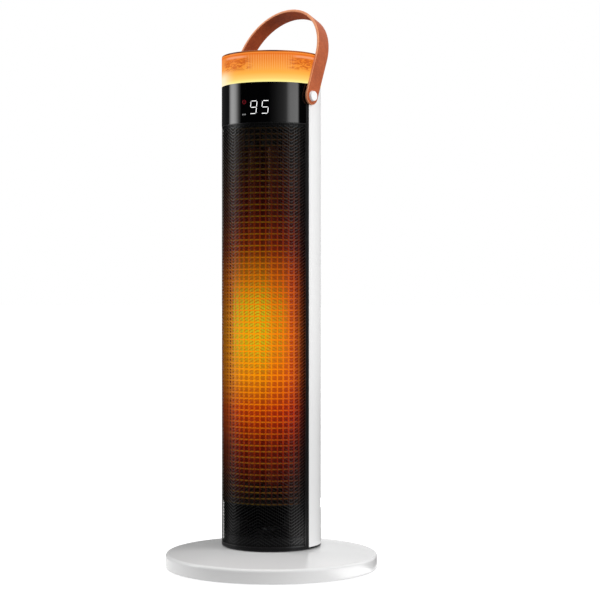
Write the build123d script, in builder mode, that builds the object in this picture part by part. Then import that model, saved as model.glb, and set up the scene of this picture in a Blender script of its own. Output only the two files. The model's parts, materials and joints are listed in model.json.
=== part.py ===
from build123d import *
from math import acos, atan2, cos, degrees, pi, radians, sin, sqrt, tan
import os

# Tower space heater: an oscillating infrared column on a round weighted base, with a light ring at the
# top and a leather carrying strap. Millimetres; +Z is up, the front faces -Y and the floor is z = 0.
# Angles around the column are measured from the front, positive towards +X.

os.makedirs("parts", exist_ok=True)

# Fits
slack = 0.3           # between moving pieces, and around pieces that drop into a seat
running = 0.06        # radial clearance of a pin or shaft that turns in its bore
snug = 0.1            # radial clearance of a fixed pin or screw in its hole
seam = 0.2            # width of the parting line of the shells
bearing_gap = 0.2     # between the faces of the swivel

# Screws and spade terminals
screw_radius = 1.5
screw_head_radius = 2.8
screw_head_height = 2.0
boss_wall = 3.0       # around a screw or a bush
spade_width = 4.8
spade_thickness = 0.8
spade_length = 6.3
spade_spacing = 8.0

# Base
base_radius = 114.6
base_rim_height = 14.8
base_rim_round = 3.2
base_wall = 2.6
plateau_radius = 50.0
plateau_rise = 8.5    # from the top of the rim to the level centre under the column
dome_swell = 0.5      # how far the top bulges above a straight cone
plate_thickness = 1.2
pad_radius = 8.0
pad_height = 1.2
pad_count = 5
pad_margin = 17.6     # from the base's edge to the centres of the pads
weight_thickness = 6.0
weight_inner = 20.0
weight_margin = 24.6
base_screw_count = 6
base_screw_start = 30.0
base_screw_margin = 38.6
base_screw_length = 10.0
base_screw_clear = 0.24   # from the floor to the screw heads
gland_radius = 4.4
gland_height = 6.9    # centre of the cord gland above the rim's lower edge
gland_inset = 0.4
gland_length = 4.6
gland_lip = 0.8
gland_lip_thickness = 1.6
cord_radius = 3.5
cord_bore = 3.4

# Swivel
spindle_radius = 10.0
spindle_wall = 3.0
spindle_end = 1.4     # above the circlip's groove
hub_flange_thickness = 2.0
hub_step = 3.4        # seat of the fixed gear, beyond the spindle
hub_rise = 0.6        # the seat's top above the gear
hub_screw_count = 3
hub_screw_gap = 2.3   # from the gear's teeth to the screw heads
hub_screw_margin = 1.2
hub_screw_length = 8.6
hub_screw_sink = 1.3
hub_boss_height = 6.0
washer_width = 6.0
washer_thickness = 1.0
bush_wall = 2.4
bush_length = 6.0
retainer_width = 5.0
retainer_thickness = 1.2
circlip_thickness = 1.0
circlip_groove = 0.7
circlip_reach = 2.0
circlip_end = 160.0

# Oscillation gears and motor
gear_module = 1.0
gear_teeth = 40
pinion_teeth = 16
gear_width = 4.5
gear_addendum = 0.9
gear_dedendum = 1.25
pressure_angle = 20.0
tooth_thinning = 0.16
pinion_lift = 0.7     # above the hub's flange
collar_wall = 2.0
motor_radius = 12.0
motor_length = 19.0
motor_offset = 8.0    # from the can's centre to its shaft
motor_shaft_radius = 2.5
motor_shaft_depth = 3.6
motor_neck_height = 1.6
motor_ear_radius = 3.5
motor_ear_thickness = 0.8
motor_screw_length = 3.4
motor_socket_width = 14.0
motor_socket_depth = 5.0
motor_socket_reach = 1.2
motor_socket_drop = 2.0

# Tip-over switch
tip_switch_angle = -57.0
tip_switch_margin = 12.8
tip_switch_width = 16.0
tip_switch_depth = 13.0
tip_switch_height = 14.0
tip_switch_corner = 1.5

# Column
tower_radius = 54.0
casing_wall = 2.4
column_height = 494.2
lip_gap = 1.0         # between the base and the column's foot
lip_height = 1.6
seam_angle = 88.5
seam_overrun = 3.5    # the shells are made this far past the seam, and then split at it
stile_angle = 83.7    # where the grille and the panel end and the frame's upright begins
stile_depth = 3.4
foot_floor_thickness = 3.0
foot_wall = 2.5
foot_step = 1.8
foot_spigot_height = 11.0
sill_height = 1.6
casing_screw_rows = 4
casing_screw_side = 42.0
casing_screw_low = 19.5   # lowest pair, above the column's lower edge
casing_screw_drop = 36.3  # highest pair, below the column's top
casing_screw_seat = 15.0  # from the column's axis back to the screw heads
casing_screw_length = 20.0
tunnel_wall = 1.6
tab_width = 14.0
tab_depth = 5.0
tab_height = 10.0
tab_outset = 3.0
vent_rows = 8
vent_pitch = 6.5
vent_slot = 2.8
vent_low = 85.0       # lowest slot, above the column's lower edge
vent_drop = 95.8      # lowest slot of the upper group, below the column's top
vent_inner_angle = 3.0
vent_outer_angle = 25.0
deck_post_angles = (130, 180, 230)
deck_post_width = 10.0
deck_post_height = 16.0
deck_post_depth = 9.0

# Grille, panel and display
grille_thickness = 0.8
grille_inset = 0.2
grille_rows = 17
grille_columns = 9
grille_side_play = 0.2
hole_width = 9.0
hole_height = 15.0
panel_thickness = 1.1
panel_height = 42.5
panel_side_play = 0.1
rail_drop = 4.0       # the lower rail reaches this far below the panel
shelf_lift = 5.0      # lower display shelf above the panel's lower edge
shelf_reach = 11.0
shelf_thickness = 1.6
shelf_half_angle = 27.0
display_angle = 22.0
display_width = 32.0
display_height = 17.0
display_depth = 3.6
display_seat = 2.2    # above the lower shelf
display_border = 4.0
board_thickness = 1.6

# Heating element
element_lift = 48.0   # above the column's lower edge
element_drop = 5.3    # below the panel
bracket_thickness = 1.2
bracket_web = 22.0
bracket_web_y = 2.0
bracket_grip = 8.0
bracket_side_gap = 2.0
guard_gap = 1.8       # between the grille and the guard
guard_wire = 1.0
guard_angle = 78.0
guard_hoops = 11
guard_uprights = 9
reflector_half_width = 36.0
reflector_depth = 17.0
reflector_lip = -8.0
reflector_thickness = 0.6
tube_radius = 6.0
tube_wall = 1.0
tube_spacing = 28.0
tube_setback = -13.0
coil_radius = 2.4
coil_end = 12.0
tail_radius = 0.8
end_cap_size = 18.0
end_cap_corner = 2.5
end_cap_grip = 8.0

# Thermal cut-out
cutout_radius = 8.0
cutout_height = 6.5
cutout_drop = 100.0   # below the top of the element
cutout_ear_length = 24.0
cutout_ear_width = 7.0
cutout_ear_thickness = 0.8
cutout_ear_lift = 2.0

# Power board and what stands on it: relays, transformer and capacitors
board_setback = 18.6  # from the casing's inside to the board
board_width = 50.0
board_lift = 58.0     # lower screws above the column's lower edge
board_screw_span = 130.0
board_screw_spread = 40.0
board_screw_length = 6.0
board_end = 5.0
relay_width = 15.0
relay_length = 19.0
relay_height = 11.5
relay_pitch = 22.0
relay_place = -27.0   # middle of the pair, from the middle of the board
transformer_width = 22.0
transformer_length = 20.0
transformer_height = 10.0
transformer_place = 14.0
capacitor_radius = 4.5
capacitor_height = 11.0
capacitor_spread = 12.0
capacitor_place = 38.0

# Head
ring_height = 32.0
ring_wall = 3.4
ring_foot_height = 2.0
ring_rebate_width = 0.6
ring_rebate_depth = 7.0
ring_edge = 0.4
cover_thickness = 1.5
cover_edge_round = 0.7
skirt_height = 6.0
skirt_wall = 1.3
dish_depth = 0.4
dish_margin = 5.0
dish_slope = 2.0
deck_thickness = 3.0
deck_drop = 4.2       # from the top of the column down to the deck's upper face
deck_opening = 14.0
deck_edge = 0.6
led_count = 16
led_size = 4.0
led_height = 1.4
led_setback = 3.6
core_gap = 1.0
core_wall = 1.5
core_top_gap = 1.5
touch_drop = 4.3      # touch board below the cover
touch_margin = 4.0
pillar_count = 3
pillar_start = 90.0
pillar_radius = 4.0
pillar_margin = 6.0
post_radius = 3.0

# Carrying strap
strap_width = 18.5
strap_thickness = 3.0
strap_gap = 0.8       # from the column's side to the strap
strap_leg = 45.7      # straight part above the pivot
strap_shoulder_radius = 63.0
strap_shoulder_turn = 30.0
strap_lean = 20.8     # the strap rests leaning back
pivot_drop = 13.4     # pivot axis below the top of the column
stud_radius = 2.5
stud_cap_radius = 5.75
stud_cap_height = 2.2
stud_cap_taper = 18.0
stud_cap_gap = 0.2
stud_end = 1.5        # beyond the nut
nut_radius = 4.7
nut_thickness = 3.2
nut_flange_thickness = 0.7
boss_radius = 5.6
boss_standing = 0.2
boss_depth = 0.4      # behind the frame's upright
strap_washer_thickness = 0.4

# Main switch, low on the back of the casing
switch_angle = 129.3
switch_height = 45.0  # above the column's lower edge
pocket_width = 22.0
pocket_height = 12.0
pocket_depth = 3.4
pocket_corner = 3.0
pocket_wall = 1.6
bezel_width = 15.0
bezel_height = 10.4
bezel_thickness = 1.0
bezel_corner = 1.2
bezel_rim_x = 0.8     # the bezel beyond the body at each end
bezel_rim_z = 1.0     # and above and below it
switch_body_depth = 12.0
rocker_width = 11.0
rocker_height = 6.4
rocker_tilt = 7.0
rocker_depth = 4.2
rocker_proud = 0.1
rocker_edge = 1.6
rocker_heel = 2.4
rocker_pin_radius = 0.9
rocker_pin_depth = 2.2
rocker_pin_reach = 0.8
rocker_swing_room = 0.7
rocker_well = 3.2     # room behind the rocker

# Levels worked out from the sizes above
rim_bottom = pad_height
rim_top = rim_bottom + base_rim_height
plateau_top = rim_top + plateau_rise
plate_top = rim_bottom + plate_thickness
flange_top = plateau_top + hub_flange_thickness
gear_top = flange_top + gear_width
washer_bottom = gear_top + hub_rise
washer_top = washer_bottom + washer_thickness
foot_floor = washer_top + bearing_gap
foot_floor_top = foot_floor + foot_floor_thickness
retainer_bottom = foot_floor + bush_length + slack
groove_bottom = retainer_bottom + retainer_thickness
groove_top = groove_bottom + circlip_thickness + snug
spindle_top = groove_top + spindle_end
column_bottom = plateau_top + lip_gap
shell_bottom = column_bottom + lip_height
shell_top = shell_bottom + column_height
spigot_top = shell_bottom + foot_spigot_height
grille_bottom = shell_bottom + sill_height
panel_bottom = shell_top - panel_height
element_bottom = column_bottom + element_lift
element_top = panel_bottom - element_drop
element_height = element_top - element_bottom
deck_top = shell_top - deck_drop
deck_bottom = deck_top - deck_thickness
display_bottom = panel_bottom + shelf_lift
display_top = deck_bottom
pivot_z = shell_top - pivot_drop
ring_top = shell_top + ring_height
touch_bottom = ring_top - touch_drop
switch_z = column_bottom + switch_height
casing_screw_bottom = column_bottom + casing_screw_low
casing_screw_top = shell_top - casing_screw_drop
casing_screw_pitch = (casing_screw_top - casing_screw_bottom) / (casing_screw_rows - 1)
casing_screw_levels = [casing_screw_bottom + row * casing_screw_pitch for row in range(casing_screw_rows)]

# Radii and places worked out from the sizes above
pad_circle = base_radius - pad_margin
weight_outer = base_radius - weight_margin
base_screw_circle = base_radius - base_screw_margin
spindle_bore = spindle_radius - spindle_wall
hub_seat_radius = spindle_radius + hub_step
gear_tip = gear_module * (gear_teeth / 2 + gear_addendum)
hub_screw_circle = gear_tip + hub_screw_gap + screw_head_radius
hub_flange_radius = hub_screw_circle + screw_head_radius + hub_screw_margin
bush_outer = spindle_radius + running + bush_wall
gear_distance = gear_module * (gear_teeth + pinion_teeth) / 2
shell_inner = tower_radius - casing_wall
seam_y = -tower_radius * cos(radians(seam_angle))
stile_inner = tower_radius - stile_depth
grille_outer = tower_radius - grille_inset
panel_inner = tower_radius - panel_thickness
foot_outer = shell_inner - slack
foot_inner = foot_outer - foot_wall
guard_radius = grille_outer - grille_thickness - guard_gap
board_y = shell_inner - board_setback
ring_inner = tower_radius - ring_wall
strap_inner = tower_radius + strap_gap
strap_outer = strap_inner + strap_thickness
boss_face = tower_radius + boss_standing
boss_inside = stile_inner - boss_depth
stud_inside = boss_inside - nut_flange_thickness - nut_thickness - stud_end
pocket_floor = tower_radius - pocket_depth
bezel_front = pocket_floor + bezel_thickness
pin_circle = bezel_front - rocker_pin_depth
switch_body_width = bezel_width - 2 * bezel_rim_x
switch_body_height = bezel_height - 2 * bezel_rim_z


def around(angle, radius):
    return (radius * sin(radians(angle)), -radius * cos(radians(angle)))


def save(node, name):
    node.part.label = name
    export_step(node.part, f"parts/{name}.step")


# A stretch of a ring about the column's axis, between two angles from the front.
def arc_band(inner, outer, first, last):
    middle = (first + last) / 2
    with BuildSketch() as band:
        with BuildLine():
            near = ThreePointArc(around(first, inner), around(middle, inner), around(last, inner))
            far = ThreePointArc(around(first, outer), around(middle, outer), around(last, outer))
            Line(near @ 0, far @ 0)
            Line(near @ 1, far @ 1)
        make_face()
    return band.sketch


# A plane that faces outwards at an angle from the front: local x runs along the skin, local y is up.
def facing(angle, radius, height):
    x, y = around(angle, radius)
    return Plane(origin=(x, y, height), x_dir=(cos(radians(angle)), sin(radians(angle)), 0),
                 z_dir=(sin(radians(angle)), -cos(radians(angle)), 0))


def base_screw_discs(radius):
    with BuildSketch() as discs:
        with PolarLocations(base_screw_circle, base_screw_count, start_angle=base_screw_start):
            Circle(radius)
    return discs.sketch


def hub_screw_discs(radius):
    with BuildSketch() as discs:
        with PolarLocations(hub_screw_circle, hub_screw_count, start_angle=180):
            Circle(radius)
    return discs.sketch


def pillar_discs(radius):
    with BuildSketch() as discs:
        with PolarLocations(pillar_circle, pillar_count, start_angle=pillar_start):
            Circle(radius)
    return discs.sketch


# Discs at the casing screws, on an upright plane across the column.
def casing_screw_discs(radius):
    with BuildSketch() as discs:
        for level in casing_screw_levels:
            with Locations((-casing_screw_side, level), (casing_screw_side, level)):
                Circle(radius)
    return discs.sketch


# Discs at the power board's four screws, on an upright plane across the column.
def board_screw_discs(radius):
    with BuildSketch() as discs:
        with Locations((0, board_middle)):
            with GridLocations(board_screw_spread, board_screw_span, 2, 2):
                Circle(radius)
    return discs.sketch


def spade_pair():
    with BuildSketch() as spades:
        with Locations((-spade_spacing / 2, 0), (spade_spacing / 2, 0)):
            Rectangle(spade_thickness, spade_width)
    return spades.sketch


def involute(radius, base):
    roll = acos(base / radius)
    return tan(roll) - roll


# Spur gear outline: straight facets laid on true involute flanks, so that the teeth roll with backlash.
def gear_face(teeth, first_angle):
    pitch = gear_module * teeth / 2
    base = pitch * cos(radians(pressure_angle))
    tip = pitch + gear_addendum * gear_module
    root = pitch - gear_dedendum * gear_module
    half_pitch_tooth = pi / (2 * teeth) - tooth_thinning / (2 * pitch)
    start = max(base, root)
    flank = [start + (tip - start) * step / 3 for step in range(4)]
    spread = [half_pitch_tooth + involute(pitch, base) - involute(r, base) for r in flank]
    side = [(root, spread[0])] + list(zip(flank, spread))
    outline = []
    for tooth in range(teeth):
        centre = radians(first_angle) + 2 * pi * tooth / teeth
        outline += [(r * cos(centre - half), r * sin(centre - half)) for r, half in side]
        outline += [(r * cos(centre + half), r * sin(centre + half)) for r, half in reversed(side)]
    with BuildSketch() as face:
        with BuildLine():
            Polyline(*outline, close=True)
        make_face()
    return face.sketch


# Height of the base cover's underside, on the straight cone below its slight swell.
def under_dome(radius):
    share = (radius - plateau_radius) / (base_radius - plateau_radius)
    return plateau_top - base_wall - share * plateau_rise


# Base cover: a shallow domed moulding with a rolled rim, screw bosses and a hole for the cord gland.
gland_z = rim_bottom + gland_height
gland_seat = sqrt((base_radius - base_wall) ** 2 - gland_radius ** 2) - 2 * slack
spindle_hole = spindle_bore + snug
with BuildPart() as base_cover:
    with BuildSketch(Plane.XZ) as base_profile:
        with BuildLine():
            dome_x = (plateau_radius + base_radius) / 2
            dome_z = rim_top + plateau_rise / 2 + dome_swell
            top = ThreePointArc((plateau_radius, plateau_top), (dome_x, dome_z), (base_radius, rim_top))
            inner_rim = base_radius - base_wall
            under = ThreePointArc((plateau_radius, plateau_top - base_wall), (dome_x, dome_z - base_wall),
                                  (inner_rim, under_dome(inner_rim)))
            Polyline(top @ 1, (base_radius, rim_bottom), (inner_rim, rim_bottom), under @ 1)
            Polyline(top @ 0, (spindle_hole, plateau_top), (spindle_hole, plateau_top - base_wall), under @ 0)
        make_face()
        fillet(base_profile.vertices().group_by(Axis.X)[-1].sort_by(Axis.Y)[-1], base_rim_round)
    revolve(axis=Axis.Z)
    boss_top = under_dome(base_screw_circle) + base_wall / 2
    with BuildSketch(Plane.XY.offset(plate_top)):
        add(base_screw_discs(screw_radius + boss_wall))
    extrude(amount=boss_top - plate_top)
    with BuildSketch(Plane.XY.offset(plateau_top - base_wall / 2)):
        add(hub_screw_discs(screw_radius + boss_wall))
    extrude(amount=-(base_wall / 2 + hub_boss_height))
    with BuildSketch(Plane.XY.offset(plate_top)):
        add(base_screw_discs(screw_radius + snug))
    extrude(amount=base_screw_length, mode=Mode.SUBTRACT)
    with BuildSketch(Plane.XY.offset(plateau_top)):
        add(hub_screw_discs(screw_radius + snug))
    extrude(amount=-(base_wall + hub_boss_height), mode=Mode.SUBTRACT)
    with BuildSketch(Plane.XZ.offset(-base_radius)):
        with Locations((0, gland_z)):
            Circle(gland_radius + snug)
    extrude(amount=2 * base_wall, both=True, mode=Mode.SUBTRACT)
save(base_cover, "base_cover")

with BuildPart() as base_plate:
    with BuildSketch(Plane.XY.offset(rim_bottom)):
        Circle(base_radius - base_wall - slack)
        add(base_screw_discs(screw_radius + snug), mode=Mode.SUBTRACT)
    extrude(amount=plate_thickness)
save(base_plate, "base_plate")

with BuildPart() as base_weight:
    with BuildSketch(Plane.XY.offset(plate_top)):
        Circle(weight_outer)
        Circle(weight_inner, mode=Mode.SUBTRACT)
        add(base_screw_discs(screw_radius + boss_wall + slack), mode=Mode.SUBTRACT)
    extrude(amount=weight_thickness)
save(base_weight, "base_weight")

with BuildPart() as base_feet:
    with BuildSketch():
        with PolarLocations(pad_circle, pad_count, start_angle=90):
            Circle(pad_radius)
    extrude(amount=pad_height)
save(base_feet, "base_feet")

with BuildPart() as base_screws:
    with BuildSketch(Plane.XY.offset(base_screw_clear)):
        add(base_screw_discs(screw_head_radius))
    extrude(amount=rim_bottom - base_screw_clear)
    with BuildSketch(Plane.XY.offset(rim_bottom)):
        add(base_screw_discs(screw_radius))
    extrude(amount=base_screw_length)
save(base_screws, "base_screws")

# Cord gland in the back of the rim: a grommet with a shallow blind bore, because no cord is shown.
with BuildPart() as cord_gland:
    gland_face = Plane.XZ.offset(-(base_radius - gland_inset))
    with BuildSketch(gland_face):
        with Locations((0, gland_z)):
            Circle(gland_radius)
    extrude(amount=gland_length)
    with BuildSketch(Plane.XZ.offset(-gland_seat)):
        with Locations((0, gland_z)):
            Circle(gland_radius + gland_lip)
    extrude(amount=gland_lip_thickness)
    with BuildSketch(gland_face):
        with Locations((0, gland_z)):
            Circle(cord_radius)
    extrude(amount=cord_bore, mode=Mode.SUBTRACT)
save(cord_gland, "cord_gland")

# Swivel hub: a flanged hollow spindle that carries the column and lets the leads through.
with BuildPart() as swivel_hub:
    with BuildSketch(Plane.XZ):
        with BuildLine():
            Polyline((spindle_bore, plateau_top), (hub_flange_radius, plateau_top),
                     (hub_flange_radius, flange_top), (hub_seat_radius, flange_top),
                     (hub_seat_radius, washer_bottom), (spindle_radius, washer_bottom),
                     (spindle_radius, groove_bottom), (spindle_radius - circlip_groove, groove_bottom),
                     (spindle_radius - circlip_groove, groove_top), (spindle_radius, groove_top),
                     (spindle_radius, spindle_top), (spindle_bore, spindle_top), close=True)
        make_face()
    revolve(axis=Axis.Z)
    with BuildSketch(Plane.XY.offset(flange_top)):
        add(hub_screw_discs(screw_radius + snug))
    extrude(amount=-hub_flange_thickness, mode=Mode.SUBTRACT)
    with BuildSketch(Plane.XY.offset(flange_top)):
        add(hub_screw_discs(screw_head_radius + snug))
    extrude(amount=-hub_screw_sink, taper=45, mode=Mode.SUBTRACT)
save(swivel_hub, "swivel_hub")

# Countersunk screws, so that the pinion can pass over them.
with BuildPart() as hub_screws:
    with BuildSketch(Plane.XY.offset(flange_top)):
        add(hub_screw_discs(screw_head_radius))
    extrude(amount=-hub_screw_sink, taper=45)
    with BuildSketch(Plane.XY.offset(flange_top)):
        add(hub_screw_discs(screw_radius))
    extrude(amount=-hub_screw_length)
save(hub_screws, "hub_screws")

# Fixed gear around the hub; the motor in the column walks its pinion along it.
with BuildPart() as swivel_gear:
    with BuildSketch(Plane.XY.offset(flange_top)):
        add(gear_face(gear_teeth, 90))
        Circle(hub_seat_radius + snug, mode=Mode.SUBTRACT)
    extrude(amount=gear_width)
save(swivel_gear, "swivel_gear")

with BuildPart() as thrust_washer:
    with BuildSketch(Plane.XY.offset(washer_bottom)):
        Circle(spindle_radius + washer_width)
        Circle(spindle_radius + snug, mode=Mode.SUBTRACT)
    extrude(amount=washer_thickness)
save(thrust_washer, "thrust_washer")

with BuildPart() as swivel_retainer:
    with BuildSketch(Plane.XY.offset(retainer_bottom)):
        Circle(spindle_radius + retainer_width)
        Circle(spindle_radius + snug, mode=Mode.SUBTRACT)
    extrude(amount=retainer_thickness)
save(swivel_retainer, "swivel_retainer")

# Circlip with its gap at the back, snapped into the spindle's groove.
with BuildPart() as swivel_circlip:
    with BuildSketch(Plane.XY.offset(groove_bottom + snug / 2)):
        add(arc_band(spindle_radius - circlip_groove + snug, spindle_radius + circlip_reach,
                     -circlip_end, circlip_end))
    extrude(amount=circlip_thickness)
save(swivel_circlip, "swivel_circlip")

# The motor sits midway between the bearing boss and the foot's wall, at its gear's distance.
foot_boss = bush_outer + boss_wall
motor_circle = (foot_boss + foot_inner) / 2
motor_turn = acos((motor_circle ** 2 - gear_distance ** 2 - motor_offset ** 2)
                  / (2 * gear_distance * motor_offset))
motor_x = motor_offset * sin(motor_turn)
motor_y = gear_distance + motor_offset * cos(motor_turn)
motor_bearing = atan2(motor_y, motor_x)
motor_plane = Plane(origin=(motor_x, motor_y, foot_floor_top), z_dir=(0, 0, 1),
                    x_dir=(-sin(motor_bearing), cos(motor_bearing), 0))
motor_ears = motor_plane.offset(motor_ear_thickness)
ear_reach = motor_radius + motor_ear_radius


def ear_discs(radius):
    with BuildSketch() as discs:
        with Locations((-ear_reach, 0), (ear_reach, 0)):
            Circle(radius)
    return discs.sketch


def shaft_disc(radius):
    with BuildSketch() as disc:
        with Locations((0, gear_distance)):
            Circle(radius)
    return disc.sketch


# Column foot: floor, bearing boss, spigot for the shells and the thin lip that shows below them.
with BuildPart() as tower_foot:
    with BuildSketch(Plane.XZ):
        with BuildLine():
            Polyline((bush_outer + snug / 2, foot_floor), (foot_inner - foot_step, foot_floor),
                     (foot_inner - foot_step, column_bottom), (tower_radius, column_bottom),
                     (tower_radius, shell_bottom), (foot_outer, shell_bottom), (foot_outer, spigot_top),
                     (foot_inner, spigot_top), (foot_inner, foot_floor_top), (foot_boss, foot_floor_top),
                     (foot_boss, foot_floor + bush_length),
                     (bush_outer + snug / 2, foot_floor + bush_length), close=True)
        make_face()
    revolve(axis=Axis.Z)
    with BuildSketch(Plane.XY.offset(foot_floor_top)):
        add(shaft_disc(motor_shaft_radius + collar_wall + slack))
    extrude(amount=-foot_floor_thickness, mode=Mode.SUBTRACT)
    with BuildSketch(motor_plane):
        add(ear_discs(screw_radius + snug))
    extrude(amount=-foot_floor_thickness, mode=Mode.SUBTRACT)
save(tower_foot, "tower_foot")

with BuildPart() as foot_bush:
    with BuildSketch(Plane.XY.offset(foot_floor)):
        Circle(bush_outer)
        Circle(spindle_radius + running, mode=Mode.SUBTRACT)
    extrude(amount=bush_length)
save(foot_bush, "foot_bush")

# Geared stepper motor: round can with two screw ears, a plug socket and an eccentric shaft.
with BuildPart() as oscillation_motor:
    with BuildSketch(motor_plane):
        SlotCenterToCenter(2 * ear_reach, 2 * motor_ear_radius)
        add(ear_discs(screw_radius + snug), mode=Mode.SUBTRACT)
    extrude(amount=motor_ear_thickness)
    with BuildSketch(motor_plane):
        Circle(motor_radius)
    extrude(amount=motor_length)
    with BuildSketch(motor_plane):
        with Locations((0, -(motor_radius + motor_socket_reach - motor_socket_depth / 2))):
            Rectangle(motor_socket_width, motor_socket_depth)
    extrude(amount=motor_length - motor_socket_drop)
    with BuildSketch(Plane.XY.offset(foot_floor_top)):
        add(shaft_disc(motor_shaft_radius + collar_wall))
    extrude(amount=-motor_neck_height)
    with BuildSketch(Plane.XY.offset(foot_floor_top - motor_neck_height)):
        add(shaft_disc(motor_shaft_radius + running))
    extrude(amount=motor_neck_height + motor_shaft_depth + slack, mode=Mode.SUBTRACT)
save(oscillation_motor, "oscillation_motor")

with BuildPart() as motor_screws:
    with BuildSketch(motor_ears):
        add(ear_discs(screw_head_radius))
    extrude(amount=screw_head_height)
    with BuildSketch(motor_ears):
        add(ear_discs(screw_radius))
    extrude(amount=-motor_screw_length)
save(motor_screws, "motor_screws")

pinion_bottom = flange_top + pinion_lift
collar_top = foot_floor - slack
with BuildPart() as motor_shaft:
    with BuildSketch(Plane.XY.offset(pinion_bottom)):
        add(shaft_disc(motor_shaft_radius))
    extrude(amount=foot_floor_top + motor_shaft_depth - pinion_bottom)
save(motor_shaft, "motor_shaft")

with BuildPart() as drive_pinion:
    with BuildSketch(Plane.XY.offset(pinion_bottom)):
        with Locations((0, gear_distance)):
            add(gear_face(pinion_teeth, 270 + 180 / pinion_teeth))
    extrude(amount=gear_top - pinion_bottom)
    with BuildSketch(Plane.XY.offset(gear_top)):
        add(shaft_disc(motor_shaft_radius + collar_wall))
    extrude(amount=collar_top - gear_top)
    with BuildSketch(Plane.XY.offset(pinion_bottom)):
        add(shaft_disc(motor_shaft_radius + snug / 2))
    extrude(amount=collar_top - pinion_bottom, mode=Mode.SUBTRACT)
save(drive_pinion, "drive_pinion")

# Tilt switch on the foot's floor: it cuts the power if the heater falls over.
tip_switch_place = around(tip_switch_angle, foot_inner - tip_switch_margin)
with BuildPart() as tip_over_switch:
    with BuildSketch(Plane.XY.offset(foot_floor_top)):
        with Locations(tip_switch_place):
            RectangleRounded(tip_switch_width, tip_switch_depth, tip_switch_corner)
    extrude(amount=tip_switch_height)
    with BuildSketch(Plane.XY.offset(foot_floor_top + tip_switch_height)):
        with Locations(tip_switch_place):
            add(spade_pair())
    extrude(amount=spade_length)
save(tip_over_switch, "tip_over_switch")

# Rear casing: half shell with screw tunnels, board posts, deck posts, vents, switch pocket and the
# back halves of the two strap bosses.
board_middle = column_bottom + board_lift + board_screw_span / 2
board_back = Plane.XZ.offset(-(board_y + board_thickness))
screw_seat_plane = Plane.XZ.offset(-casing_screw_seat)
boss_planes = (Plane.YZ.offset(boss_inside), Plane.YZ.offset(-boss_face))
vent_starts = (column_bottom + vent_low, shell_top - vent_drop)
past_skin = 1.0
with BuildPart() as rear_casing:
    casing_seam = Plane.XZ.offset(-(seam_y + seam / 2))
    with BuildSketch(casing_seam):
        add(casing_screw_discs(screw_head_radius + tunnel_wall))
    extrude(amount=-tower_radius)
    with BuildSketch(board_back):
        add(board_screw_discs(screw_radius + tunnel_wall))
    extrude(amount=-tower_radius)
    for angle in deck_post_angles:
        with BuildSketch(facing(angle, tower_radius, deck_bottom - deck_post_height / 2)):
            Rectangle(deck_post_width, deck_post_height)
        extrude(amount=-deck_post_depth)
    with BuildSketch(facing(switch_angle, tower_radius, switch_z)):
        Rectangle(pocket_width + 2 * pocket_wall, pocket_height + 2 * pocket_wall)
    extrude(amount=-(pocket_depth + pocket_wall))
    with BuildSketch(Plane.XY.offset(shell_bottom)):
        Circle(tower_radius - casing_wall / 2)
    extrude(amount=column_height, mode=Mode.INTERSECT)
    with BuildSketch(Plane.XY.offset(shell_bottom)):
        Circle(tower_radius)
        Circle(shell_inner, mode=Mode.SUBTRACT)
    extrude(amount=column_height)
    for side in boss_planes:
        with BuildSketch(side):
            with Locations((0, pivot_z)):
                Circle(boss_radius)
        extrude(amount=boss_face - boss_inside)
    with BuildSketch(Plane.YZ):
        with Locations((0, pivot_z)):
            Circle(stud_radius + snug)
    extrude(amount=tower_radius + past_skin, both=True, mode=Mode.SUBTRACT)
    split(bisect_by=casing_seam, keep=Keep.BOTTOM)
    with BuildSketch(casing_seam):
        add(casing_screw_discs(screw_radius + snug))
    extrude(amount=-tower_radius, mode=Mode.SUBTRACT)
    with BuildSketch(screw_seat_plane):
        add(casing_screw_discs(screw_head_radius + slack))
    extrude(amount=-tower_radius, mode=Mode.SUBTRACT)
    with BuildSketch(board_back):
        add(board_screw_discs(screw_radius + snug))
    extrude(amount=-board_screw_length, mode=Mode.SUBTRACT)
    with BuildSketch(facing(switch_angle, tower_radius, switch_z)):
        RectangleRounded(pocket_width, pocket_height, pocket_corner)
    extrude(amount=-pocket_depth, mode=Mode.SUBTRACT)
    with BuildSketch(facing(switch_angle, pocket_floor, switch_z)):
        Rectangle(switch_body_width + 2 * snug, switch_body_height + 2 * snug)
    extrude(amount=-3 * pocket_wall, mode=Mode.SUBTRACT)
    for start in vent_starts:
        for row in range(vent_rows):
            with BuildSketch(Plane.XY.offset(start + row * vent_pitch)):
                for side in (-1, 1):
                    add(arc_band(shell_inner - past_skin, tower_radius + past_skin,
                                 180 + side * vent_inner_angle, 180 + side * vent_outer_angle))
            extrude(amount=vent_slot, mode=Mode.SUBTRACT)
save(rear_casing, "rear_casing")

with BuildPart() as casing_screws:
    with BuildSketch(screw_seat_plane):
        add(casing_screw_discs(screw_head_radius))
    extrude(amount=-screw_head_height)
    with BuildSketch(screw_seat_plane):
        add(casing_screw_discs(screw_radius))
    extrude(amount=casing_screw_length)
save(casing_screws, "casing_screws")

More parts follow.
